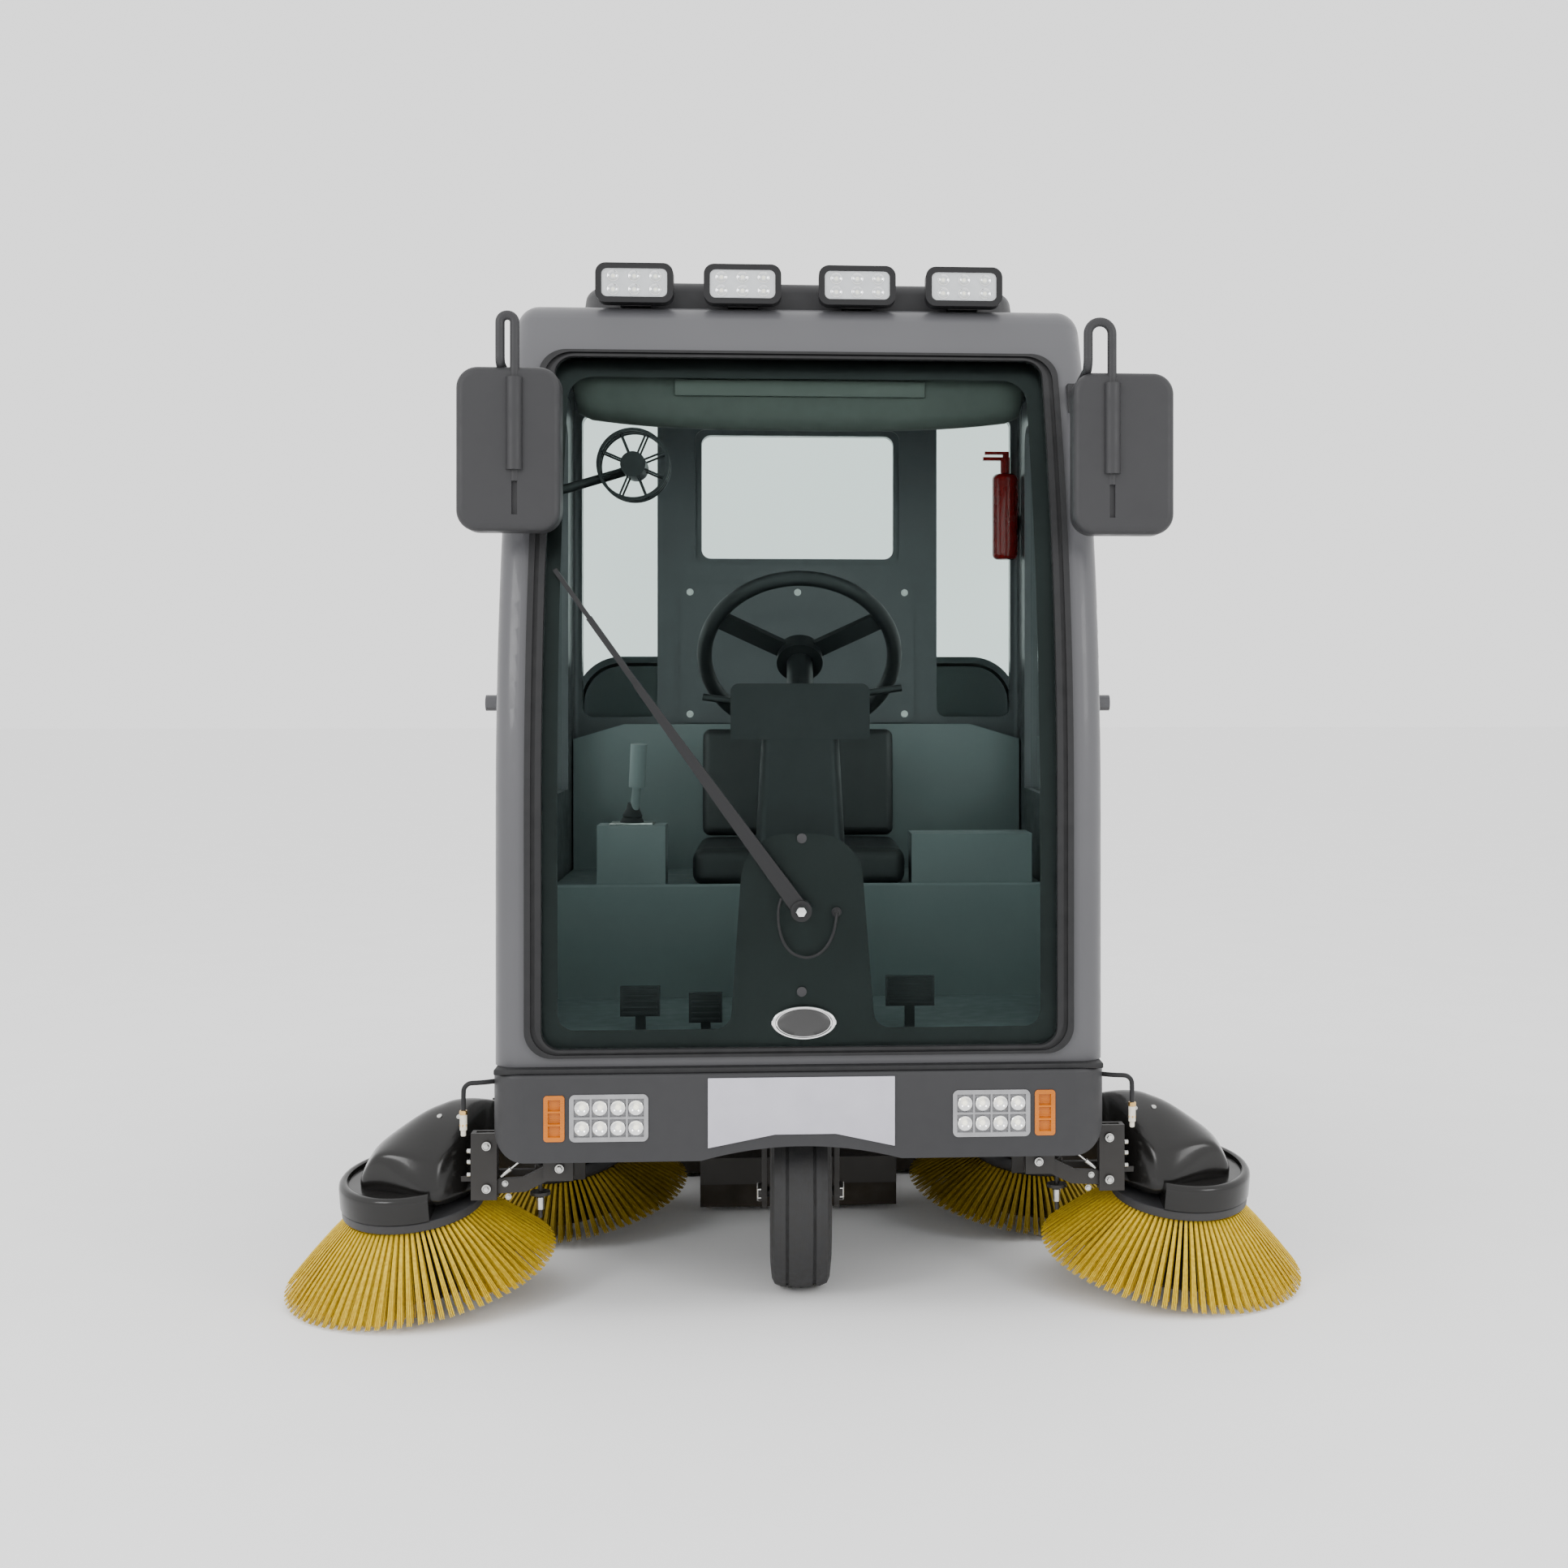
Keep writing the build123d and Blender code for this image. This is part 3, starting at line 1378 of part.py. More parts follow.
housing_low_z = 45
snout_z = (60, 117)
with BuildPart() as roller_housing:
    with BuildSketch(Plane.YZ.offset(-housing_half_width)) as section:
        with Locations(((housing_y[0] + housing_y[1]) / 2, (housing_low_z + housing_top_z) / 2)):
            Rectangle(housing_y[1] - housing_y[0], housing_top_z - housing_low_z)
        fillet(section.vertices().group_by(Axis.Y)[-1], 40)
    extrude(amount=2 * housing_half_width)
    slab(
        (-housing_half_width + housing_wall, housing_half_width - housing_wall),
        (housing_y[0] + 8, housing_y[1] - 8),
        (housing_low_z - 1, housing_top_z - housing_wall),
        mode=Mode.SUBTRACT,
    )
    bar(
        (-housing_half_width - 1, roller_y, roller_z),
        (housing_half_width + 1, roller_y, roller_z),
        journal_radius + pin_clearance,
        mode=Mode.SUBTRACT,
    )
    # Throat that guides the swept debris in from between the side brushes
    slab(
        (-snout_half_width, snout_half_width),
        (snout_front_y, housing_y[0] + 1),
        (snout_z[1] - 12, snout_z[1]),
    )
    slab((-snout_half_width, snout_half_width), (snout_front_y, snout_front_y + 24), snout_z)
    for side in (-1, 1):
        slab(
            sorted((side * (snout_half_width - 10), side * snout_half_width)),
            (snout_front_y, housing_y[0] + 1),
            snout_z,
        )
    slab(
        (-snout_half_width + 10, snout_half_width - 10),
        (housing_y[0] - 1, housing_y[0] + 9),
        (housing_low_z - 1, snout_z[1] - 12),
        mode=Mode.SUBTRACT,
    )
write(roller_housing.part, "roller_housing")

skirt_low_z = 11
skirt_thickness = 6
with BuildPart() as rubber_skirts:
    slab(
        (-snout_half_width, snout_half_width),
        (snout_front_y + 4, snout_front_y + 4 + skirt_thickness),
        (skirt_low_z, snout_z[0]),
    )
    for side in (-1, 1):
        slab(
            sorted((side * (snout_half_width - skirt_thickness), side * snout_half_width)),
            (snout_front_y + 4, housing_y[0]),
            (skirt_low_z, snout_z[0]),
        )
        slab(
            sorted((side * (housing_half_width - skirt_thickness), side * housing_half_width)),
            housing_y,
            (skirt_low_z, housing_low_z),
        )
        slab(
            sorted((side * (snout_half_width - skirt_thickness), side * housing_half_width)),
            (housing_y[0], housing_y[0] + skirt_thickness),
            (skirt_low_z, housing_low_z),
        )
    slab(
        (-housing_half_width, housing_half_width),
        (housing_y[1] - skirt_thickness, housing_y[1]),
        (skirt_low_z, housing_low_z),
    )
write(rubber_skirts.part, "rubber_skirts")


# ------------------------------------------------------------------ rear body
def body_section(inset, low_z):
    """Upright section of the rear body with round shoulders, every side drawn in by the inset."""
    half, top = body_half_width - inset, body_top_z - inset
    with BuildSketch(Plane.XY) as section:
        with Locations((0, (low_z + top) / 2)):
            Rectangle(2 * half, top - low_z)
        fillet(section.vertices().group_by(Axis.Y)[-1], body_shoulder - inset)
    return section.sketch


def body_run(inset, low_z, front_y, rear_y):
    """Length of the rear body's section between two places along the vehicle."""
    with BuildPart() as run:
        with BuildSketch(across(rear_y)):
            add(body_section(inset, low_z))
        extrude(amount=rear_y - front_y)
    return run.part


arch_radius = rear_wheel_radius + arch_clearance
liner_wall = 8
liner_inner_x = rear_track / 2 - rear_wheel_width / 2 - 24
louvre_count, louvre_pitch = 7, 34
tail_hinge_x = -(rear_door_half_width + 1)
tail_hinge_y = body_rear_y + 10
tail_hinge_heights = (560, 820)
hood_hinge_y, hood_hinge_z = body_front_y + 12, body_top_z + 8
hood_hinge_x = 260
hood_knuckle = 14
hood_tab_half = 34

with BuildPart() as rear_body:
    slab(
        (-body_half_width, body_half_width),
        (body_front_y, body_rear_y),
        (body_low_z, body_split_z),
    )
    slab(
        (-body_half_width + body_wall, body_half_width - body_wall),
        (body_front_y + body_wall, body_rear_y - body_wall),
        (body_low_z - 1, body_split_z + 1),
        mode=Mode.SUBTRACT,
    )
    # Front wall rises inside the hood, and stops above the frame rails
    add(body_run(hood_wall + 8, body_split_z - 40, body_front_y, body_front_y + body_wall))
    slab(
        (-body_half_width + body_wall, body_half_width - body_wall),
        (body_front_y - 1, body_front_y + body_wall + 1),
        (body_low_z - 1, frame_top_z),
        mode=Mode.SUBTRACT,
    )
    # Wheel arches and their liners
    for side in (-1, 1):
        with BuildSketch(Plane.YZ.offset(side * liner_inner_x if side > 0 else -body_half_width)):
            with Locations((rear_axle_y, rear_wheel_radius)):
                Circle(arch_radius + liner_wall)
        extrude(amount=body_half_width - liner_inner_x)
        slab(
            sorted((side * (liner_inner_x - 1), side * (body_half_width + 1))),
            (rear_axle_y - 300, rear_axle_y + 300),
            (rear_wheel_radius - 300, body_low_z),
            mode=Mode.SUBTRACT,
        )
        start = side * (liner_inner_x + liner_wall) if side > 0 else -body_half_width - 1
        with BuildSketch(Plane.YZ.offset(start)):
            with Locations((rear_axle_y, rear_wheel_radius)):
                Circle(arch_radius)
        extrude(amount=body_half_width + 1 - liner_inner_x - liner_wall, mode=Mode.SUBTRACT)
        # Pressed louvres behind the arch
        for row in range(louvre_count):
            z = 560 + louvre_pitch * row
            slab(
                sorted((side * (body_half_width - 7), side * (body_half_width + 1))),
                (rear_axle_y + 310, body_rear_y - 70),
                (z, z + 12),
                mode=Mode.SUBTRACT,
            )
    # Tail opening and the hinge pins of its door
    slab(
        (-rear_door_half_width, rear_door_half_width),
        (body_rear_y - body_wall - 1, body_rear_y + 1),
        (rear_door_low_z, rear_door_high_z),
        mode=Mode.SUBTRACT,
    )
    for z in tail_hinge_heights:
        for end in (-1, 1):
            low = z + end * 28 - 6
            for far_x, near_y in ((-1, -4), (6, 3.5)):
                slab(
                    (tail_hinge_x - 14, tail_hinge_x + far_x),
                    (body_rear_y + near_y, tail_hinge_y + 6),
                    (low, low + 12),
                )
        bar((tail_hinge_x, tail_hinge_y, z - 34), (tail_hinge_x, tail_hinge_y, z + 34), 5)
    # Hood hinge tabs with their pins, standing on the front wall
    for side in (-1, 1):
        x = side * hood_hinge_x
        slab(
            (x - hood_tab_half, x + hood_tab_half),
            (body_front_y + 2, body_front_y + body_wall),
            (body_top_z - hood_wall - 30, hood_hinge_z),
        )
        reach = hood_tab_half + 1 + hood_knuckle
        bar((x - reach, hood_hinge_y, hood_hinge_z), (x + reach, hood_hinge_y, hood_hinge_z), 5)
write(rear_body.part, "rear_body")

hood_low_z = body_split_z + hood_gap
hood_y = (body_front_y + 4, body_rear_y)
with BuildPart() as rear_hood:
    add(body_run(0, hood_low_z, *hood_y))
    add(body_run(hood_wall, hood_low_z - 1, hood_y[0] - 1, hood_y[1] - hood_wall), mode=Mode.SUBTRACT)
    for side in (-1, 1):
        x = side * hood_hinge_x
        slab(
            (x - hood_tab_half - 1, x + hood_tab_half + 1),
            (hood_y[0] - 1, hood_y[0] + body_wall + 12),
            (body_top_z - hood_wall - 1, body_top_z + 1),
            mode=Mode.SUBTRACT,
        )
        for end in (-1, 1):
            near = x + end * (hood_tab_half + 1)
            far = x + end * (hood_tab_half + 1 + hood_knuckle)
            bar((near, hood_hinge_y, hood_hinge_z), (far, hood_hinge_y, hood_hinge_z), 10)
            slab(
                sorted((near, far)),
                (hood_hinge_y, hood_hinge_y + 40),
                (body_top_z - 5, body_top_z + 10),
            )
            bar(
                (near - 1, hood_hinge_y, hood_hinge_z),
                (far + 1, hood_hinge_y, hood_hinge_z),
                5 + pin_clearance,
                mode=Mode.SUBTRACT,
            )
            bar(
                (far - 1, hood_hinge_y, hood_hinge_z),
                (near + 1, hood_hinge_y, hood_hinge_z),
                5 + pin_clearance,
                mode=Mode.SUBTRACT,
            )
    # Recessed grip in the tail edge
    slab(
        (-70, 70),
        (body_rear_y - 6, body_rear_y + 1),
        (hood_low_z + 30, hood_low_z + 62),
        mode=Mode.SUBTRACT,
    )
write(rear_hood.part, "rear_hood")

with BuildPart() as rear_door:
    gap = rear_door_gap
    slab(
        (-rear_door_half_width + gap, rear_door_half_width - gap),
        (body_rear_y - body_wall, body_rear_y + 2),
        (rear_door_low_z + gap, rear_door_high_z - gap),
    )
    slab(
        (-rear_door_half_width + 60, rear_door_half_width - 90),
        (body_rear_y - 4, body_rear_y + 3),
        (rear_door_low_z + 60, rear_door_high_z - 60),
        mode=Mode.SUBTRACT,
    )
    for z in tail_hinge_heights:
        bar((tail_hinge_x, tail_hinge_y, z - 21), (tail_hinge_x, tail_hinge_y, z + 21), 10)
        slab((tail_hinge_x, tail_hinge_x + 44), (body_rear_y + 1, tail_hinge_y), (z - 21, z + 21))
        bar(
            (tail_hinge_x, tail_hinge_y, z - 22),
            (tail_hinge_x, tail_hinge_y, z + 22),
            5 + pin_clearance,
            mode=Mode.SUBTRACT,
        )
    # Turn latch
    bar(
        (rear_door_half_width - 46, body_rear_y, 690),
        (rear_door_half_width - 46, body_rear_y + 16, 690),
        22,
    )
    slab(
        (rear_door_half_width - 56, rear_door_half_width - 36),
        (body_rear_y + 14, body_rear_y + 26),
        (640, 740),
    )
write(rear_door.part, "rear_door")

hopper_half_width, hopper_y, hopper_top_z, hopper_wall = 330, (345, 1098), 872, 8
with BuildPart() as hopper:
    slab((-hopper_half_width, hopper_half_width), hopper_y, (frame_top_z, hopper_top_z))
    slab(
        (-hopper_half_width + hopper_wall, hopper_half_width - hopper_wall),
        (hopper_y[0] + hopper_wall, hopper_y[1] - hopper_wall),
        (frame_top_z + hopper_wall, hopper_top_z + 1),
        mode=Mode.SUBTRACT,
    )
    slab(
        (-hopper_half_width - 14, hopper_half_width + 14),
        (hopper_y[0] - 14, hopper_y[0]),
        (hopper_top_z - 30, hopper_top_z),
    )
    slab(
        (-hopper_half_width - 14, hopper_half_width + 14),
        (hopper_y[1], hopper_y[1] + 14),
        (hopper_top_z - 30, hopper_top_z),
    )
write(hopper.part, "hopper")

with BuildPart() as rear_lamps:
    for side in (-1, 1):
        add(front_prism(30, 560, 790, 14, body_rear_y + 18, body_rear_y, side * 480))
        for z in (634, 712):
            slab(
                (side * 480 - 31, side * 480 + 31),
                (body_rear_y + 14, body_rear_y + 19),
                (z, z + 4),
                mode=Mode.SUBTRACT,
            )
write(rear_lamps.part, "rear_lamps")


# ------------------------------------------------------------------ windscreen wiper
wiper_pivot = (0, 729)
wiper_lean = 36             # degrees to the left of upright
wiper_arm_length = 475
wiper_blade_reach = (240, 764)   # blade's ends, measured from the pivot


def wiper_strip(outer, inner, start, end, start_width, end_width):
    """Strip along the wiper's line that follows the curve of the glass."""
    with BuildPart() as strip:
        add(screen_band(-outer, -inner))
        with BuildPart(mode=Mode.PRIVATE) as cut:
            place = Plane(
                (wiper_pivot[0], -800, wiper_pivot[1]),
                x_dir=(-sin(radians(wiper_lean)), 0, cos(radians(wiper_lean))),
                z_dir=(0, -1, 0),
            )
            with BuildSketch(place):
                with BuildLine():
                    Polyline(
                        (start, -start_width / 2),
                        (end, -end_width / 2),
                        (end, end_width / 2),
                        (start, start_width / 2),
                        close=True,
                    )
                make_face()
            extrude(amount=400)
        add(cut.part, mode=Mode.INTERSECT)
    return strip.part


glass_proud = -glass_inset
with BuildPart() as wiper:
    add(wiper_strip(glass_proud + 11, glass_proud + 4, *wiper_blade_reach, 8, 8))
    add(
        wiper_strip(
            glass_proud + 18,
            glass_proud + 8,
            wiper_blade_reach[0] + 110,
            wiper_blade_reach[1] - 110,
            11,
            11,
        )
    )
    add(wiper_strip(glass_proud + 27, glass_proud + 17, 0, wiper_arm_length + 30, 30, 13))
    hub_back = cab_front_y + glass_inset - 0.3
    bar((wiper_pivot[0], hub_back, wiper_pivot[1]), (wiper_pivot[0], hub_back - 32, wiper_pivot[1]), 19)
write(wiper.part, "wiper")
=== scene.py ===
import random
from math import cos, pi, radians, sin, sqrt

import bmesh
import bpy
from mathutils import Matrix, Vector


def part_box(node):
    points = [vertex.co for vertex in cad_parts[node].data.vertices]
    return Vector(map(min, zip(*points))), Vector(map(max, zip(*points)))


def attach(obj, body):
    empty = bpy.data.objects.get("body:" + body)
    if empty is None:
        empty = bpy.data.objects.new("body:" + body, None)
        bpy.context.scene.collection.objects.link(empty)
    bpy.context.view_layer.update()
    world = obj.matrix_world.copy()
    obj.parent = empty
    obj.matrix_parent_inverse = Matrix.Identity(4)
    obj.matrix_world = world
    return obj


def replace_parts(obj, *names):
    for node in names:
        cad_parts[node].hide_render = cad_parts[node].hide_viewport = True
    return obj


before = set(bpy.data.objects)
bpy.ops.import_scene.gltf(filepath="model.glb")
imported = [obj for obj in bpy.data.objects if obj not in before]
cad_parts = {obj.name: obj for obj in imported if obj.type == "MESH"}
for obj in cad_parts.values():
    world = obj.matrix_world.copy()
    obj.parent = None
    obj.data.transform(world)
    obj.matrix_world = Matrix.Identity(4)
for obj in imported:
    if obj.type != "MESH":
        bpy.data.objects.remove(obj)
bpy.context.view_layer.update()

# Compact road sweeper: finishes, small parts and soft goods over the CAD frame.
# Metres. +Z is up, the nose points along -Y.

# ------------------------------------------------------------------ sizes shared with the CAD
CAB_FRONT_Y = -1.085
BEND_Z = 0.900
SCREEN_RADIUS = 1.730
SCREEN_HALF_WIDTH = 0.466
SCREEN_LOW_Z, SCREEN_HIGH_Z = 0.481, 1.765
SCREEN_CORNER = 0.034
GLASS_INSET, GLASS_THICKNESS = 0.008, 0.006
WALL_INNER_Y = -0.045
PANEL_HALF_WIDTH, PANEL_LOW_Z, PANEL_HIGH_Z = 0.272, 1.053, 1.377
ROOF_Z = 1.880
BUMPER_FRONT_Y = -1.112
HEADLAMP_X, HEADLAMP_Z = 0.343, 0.363
ROOF_LAMP_Y, ROOF_LAMP_Z = -0.800, 1.920
ROOF_LAMP_X = (0.112, 0.322)
# Half width, half height and corner radius
ROOF_LAMP_BODY, ROOF_LAMP_WINDOW = (0.0755, 0.0385, 0.020), (0.0635, 0.0275, 0.011)
WIPER_PIVOT_Y, WIPER_PIVOT_Z = -1.112, 0.729
LINK_Y, LINK_RISE = -1.000, 0.078
LINK_INNER, LINK_OUTER = (0.441, 0.252), (0.573, 0.217)
HEIGHT_ROD = (0.484, -0.950)
FRONT_AXLE_Y, FRONT_AXLE_Z, FORK_OUTER_X = -0.905, 0.175, 0.073
FRONT_BRUSH = (0.706, -0.925)
REAR_BRUSH = (0.486, -0.405)
BRUSH_RADIUS = 0.250
BRUSH_TILT = Vector((sin(radians(6.7)), -sin(radians(9.0))))
TIP_CLEARANCE = 0.003
PEDALS = ((-0.300, 0.545, 0.074), (-0.178, 0.532, 0.062), (0.206, 0.560, 0.092))
WHEEL_CENTRE, WHEEL_RAKE = Vector((0, -0.700, 1.195)), radians(52)
SEAT_TOP_Z = 0.718
BODY_REAR_Y = 1.140
SIDES = {"left": -1, "right": 1}

random.seed(7)


def screen_y(z, proud=0.0):
    """Front face of the cab at a height, or a face standing proud of it."""
    radius = SCREEN_RADIUS + proud
    return CAB_FRONT_Y + SCREEN_RADIUS - sqrt(radius**2 - max(z - BEND_Z, 0) ** 2)


# ------------------------------------------------------------------ camera, floor and light
def add_camera():
    """Camera in front of the machine, turned a little to the right, with a shifted frame."""
    data = bpy.data.cameras.new("camera")
    data.sensor_width = 36
    data.lens = 44.94
    data.shift_x, data.shift_y = -0.0771, -0.0575
    camera = bpy.data.objects.new("camera", data)
    camera.location = (-0.029, -4.630, 1.120)
    camera.rotation_euler = (radians(90), 0, radians(-3.5))
    bpy.context.scene.collection.objects.link(camera)
    bpy.context.scene.camera = camera


def add_softbox(name, place, target, size, power, glossy=True):
    """Square area light aimed at a point."""
    data = bpy.data.lights.new(name, "AREA")
    data.size = size
    data.energy = power
    lamp = bpy.data.objects.new(name, data)
    lamp.location = place
    lamp.rotation_euler = (Vector(target) - Vector(place)).to_track_quat("-Z", "Y").to_euler()
    lamp.visible_glossy = glossy
    bpy.context.scene.collection.objects.link(lamp)


def add_studio():
    """White room: even sky light, a large softbox overhead and one at each side."""
    world = bpy.data.worlds.new("studio")
    world.use_nodes = True
    sky = world.node_tree.nodes["Background"]
    sky.inputs["Color"].default_value = (1, 1, 1, 1)
    sky.inputs["Strength"].default_value = 1.7
    bpy.context.scene.world = world
    add_softbox("overhead", (0, -0.8, 4.6), (0, -0.4, 0.8), 4.0, 60, glossy=False)
    add_softbox("key", (-3.6, -4.2, 3.0), (0, -0.5, 0.9), 1.6, 70)
    add_softbox("fill", (3.6, -4.4, 2.6), (0, -0.5, 0.9), 1.6, 50)


# ------------------------------------------------------------------ finishes
class Nodes:
    """Short names for building one material's node tree."""

    def __init__(self, name):
        self.material = bpy.data.materials.new(name)
        self.material.use_nodes = True
        self.tree = self.material.node_tree
        self.shader = self.tree.nodes["Principled BSDF"]
        self.output = self.tree.nodes["Material Output"]
        self.place = self.add("ShaderNodeTexCoord").outputs["Object"]

    def add(self, kind, **settings):
        node = self.tree.nodes.new(kind)
        for key, value in settings.items():
            setattr(node, key, value)
        return node

    def join(self, source, target):
        self.tree.links.new(source, target)

    def noise(self, size, detail=2.0, stretch=(1, 1, 1)):
        """Noise whose clouds are about one size across, in metres."""
        spread = self.add("ShaderNodeMapping")
        spread.inputs["Scale"].default_value = [factor / size for factor in stretch]
        cloud = self.add("ShaderNodeTexNoise")
        cloud.inputs["Scale"].default_value = 1.0
        cloud.inputs["Detail"].default_value = detail
        self.join(self.place, spread.inputs["Vector"])
        self.join(spread.outputs["Vector"], cloud.inputs["Vector"])
        return cloud.outputs["Fac"]

    def remap(self, value, low, high, new_low, new_high):
        step = self.add("ShaderNodeMapRange")
        limits = {"From Min": low, "From Max": high, "To Min": new_low, "To Max": new_high}
        for key, limit in limits.items():
            step.inputs[key].default_value = limit
        self.join(value, step.inputs["Value"])
        return step.outputs["Result"]

    def blend(self, factor, first, second):
        """Colour between two colours, or between a socket's colour and a colour."""
        mix = self.add("ShaderNodeMix", data_type="RGBA")
        self.join(factor, mix.inputs["Factor"])
        for socket, colour in ((mix.inputs[6], first), (mix.inputs[7], second)):
            if isinstance(colour, bpy.types.NodeSocket):
                self.join(colour, socket)
            else:
                socket.default_value = (*colour, 1)
        return mix.outputs[2]

    def bump(self, height, depth):
        """Surface relief of a given depth, in metres."""
        relief = self.add("ShaderNodeBump")
        relief.inputs["Strength"].default_value = 1.0
        relief.inputs["Distance"].default_value = depth
        self.join(height, relief.inputs["Height"])
        self.join(relief.outputs["Normal"], self.shader.inputs["Normal"])


def shade(colour, factor):
    """A colour made lighter or darker."""
    return tuple(min(channel * factor, 1) for channel in colour)


def finish(name, colour, roughness, metallic=0.0, mottle=0.08, patch=0.25, grain=0.001,
           depth=0.0, coat=0.0, dirt=0.0, emission=0.0):
    """Opaque finish: mottled colour, uneven gloss and a fine relief."""
    n = Nodes(name)
    cloud = n.noise(patch, 3)
    colours = n.blend(n.remap(cloud, 0.3, 0.7, 0, 1), shade(colour, 1 - mottle), shade(colour, 1 + mottle))
    if dirt:
        height = n.add("ShaderNodeSeparateXYZ")
        n.join(n.place, height.inputs["Vector"])
        low = n.remap(height.outputs["Z"], 0.05, 0.5, dirt, 0)
        colours = n.blend(low, colours, (0.16, 0.135, 0.105))
    n.join(colours, n.shader.inputs["Base Color"])
    n.join(n.remap(n.noise(0.03), 0.3, 0.7, roughness * 0.85, min(roughness * 1.15, 1)),
           n.shader.inputs["Roughness"])
    n.shader.inputs["Metallic"].default_value = metallic
    n.shader.inputs["Specular IOR Level"].default_value = 0.5 if metallic else 0.32
    n.shader.inputs["Coat Weight"].default_value = coat
    n.shader.inputs["Coat Roughness"].default_value = 0.06
    if depth:
        n.bump(n.noise(grain, 3), depth)
    if emission:
        n.shader.inputs["Emission Color"].default_value = (*colour, 1)
        n.shader.inputs["Emission Strength"].default_value = emission
    return n.material


def clear_finish(name, tint, gloss, roughness=0.02):
    """Thin clear pane: tinted see-through with a light gloss that grows at grazing angles."""
    n = Nodes(name)
    n.tree.nodes.remove(n.shader)
    clear = n.add("ShaderNodeBsdfTransparent")
    cloud = n.remap(n.noise(0.5), 0.3, 0.7, 0, 1)
    n.join(n.blend(cloud, shade(tint, 0.97), tint), clear.inputs["Color"])
    mirror = n.add("ShaderNodeBsdfGlossy")
    mirror.inputs["Roughness"].default_value = roughness
    facing = n.add("ShaderNodeFresnel")
    facing.inputs["IOR"].default_value = 1.22
    mix = n.add("ShaderNodeMixShader")
    n.join(n.remap(facing.outputs["Fac"], 0.02, 1, gloss, 0.7), mix.inputs["Fac"])
    n.join(clear.outputs["BSDF"], mix.inputs[1])
    n.join(mirror.outputs["BSDF"], mix.inputs[2])
    n.join(mix.outputs["Shader"], n.output.inputs["Surface"])
    return n.material


def bristle_finish(name, light):
    """Yellow nylon bristles with worn, dirty brown tips near the ground; a light below 1 darkens the whole
    colour as painted shade.
    """
    n = Nodes(name)
    height = n.add("ShaderNodeSeparateXYZ")
    n.join(n.place, height.inputs["Vector"])
    strand = n.remap(n.noise(0.006, 2), 0.35, 0.65, 0, 1)
    yellow = n.blend(strand, shade((0.54, 0.34, 0.012), light), shade((0.68, 0.48, 0.030), light))
    tip = n.remap(height.outputs["Z"], 0.016, 0.0, 0, 0.6)
    n.join(n.blend(tip, yellow, (0.12, 0.065, 0.02)), n.shader.inputs["Base Color"])
    n.join(n.remap(strand, 0, 1, 0.45, 0.6), n.shader.inputs["Roughness"])
    n.shader.inputs["Specular IOR Level"].default_value = 0.15
    return n.material


def tyre_finish():
    """Rubber with a dusty tread and a fine relief."""
    n = Nodes("tyre_rubber")
    dust = n.remap(n.noise(0.02, 3), 0.4, 0.75, 0, 0.35)
    n.join(n.blend(dust, (0.011, 0.011, 0.012), (0.04, 0.038, 0.034)), n.shader.inputs["Base Color"])
    n.join(n.remap(dust, 0, 0.35, 0.62, 0.85), n.shader.inputs["Roughness"])
    n.bump(n.noise(0.004, 3), 0.0002)
    return n.material


def vinyl_finish():
    """Black seat vinyl with a leather grain."""
    n = Nodes("seat_vinyl")
    n.join(n.blend(n.remap(n.noise(0.12), 0.3, 0.7, 0, 1), (0.010, 0.010, 0.011), (0.016, 0.016, 0.017)),
           n.shader.inputs["Base Color"])
    cells = n.add("ShaderNodeTexVoronoi", feature="DISTANCE_TO_EDGE")
    cells.inputs["Scale"].default_value = 320
    n.join(n.place, cells.inputs["Vector"])
    n.join(n.remap(cells.outputs["Distance"], 0, 0.3, 0.6, 0.42), n.shader.inputs["Roughness"])
    n.bump(cells.outputs["Distance"], 0.00005)
    return n.material


def ribbed_finish(name, colour, roughness, pitch):
    """Moulded lens plastic with fine level ribs."""
    n = Nodes(name)
    n.join(n.blend(n.remap(n.noise(0.05), 0.3, 0.7, 0, 1), shade(colour, 0.9), shade(colour, 1.1)),
           n.shader.inputs["Base Color"])
    n.shader.inputs["Roughness"].default_value = roughness
    n.shader.inputs["Coat Weight"].default_value = 0.15
    n.shader.inputs["Specular IOR Level"].default_value = 0.25
    ribs = n.add("ShaderNodeTexWave", bands_direction="Z")
    ribs.inputs["Scale"].default_value = 2 * pi / pitch / 20
    n.join(n.place, ribs.inputs["Vector"])
    n.bump(ribs.outputs["Fac"], 0.0004)
    return n.material


PAINT = finish("cab_paint", (0.084, 0.084, 0.090), 0.34, mottle=0.03, grain=0.004, depth=0.00002, coat=0.1,
               dirt=0.06)
MOULDING = finish("dark_moulding", (0.030, 0.030, 0.032), 0.50, mottle=0.04, grain=0.0012, depth=0.00006)
MIRROR_SHELL = finish("mirror_shell", (0.029, 0.029, 0.031), 0.50, mottle=0.05, grain=0.0012, depth=0.00006)
GLOSS = finish("gloss_cover", (0.008, 0.0075, 0.007), 0.22, mottle=0.15, grain=0.03, depth=0.0003,
               coat=0.12)
BLACK_STEEL = finish("black_steel", (0.013, 0.013, 0.014), 0.42, grain=0.002, depth=0.00005, dirt=0.15)
TRIM = finish("black_trim", (0.011, 0.011, 0.012), 0.45, grain=0.0012, depth=0.00005)
CABIN = finish("cabin_plastic", (0.165, 0.188, 0.190), 0.60, mottle=0.04, grain=0.0015, depth=0.00005)
LINER = finish("roof_liner", (0.075, 0.079, 0.072), 0.85, mottle=0.05, patch=0.1, grain=0.0012,
               depth=0.00005)
LIGHT_TRIM = finish("light_trim", (0.085, 0.090, 0.080), 0.5, mottle=0.04, grain=0.002, depth=0.00003)
RUBBER = finish("rubber", (0.014, 0.014, 0.015), 0.60, grain=0.002, depth=0.00006)
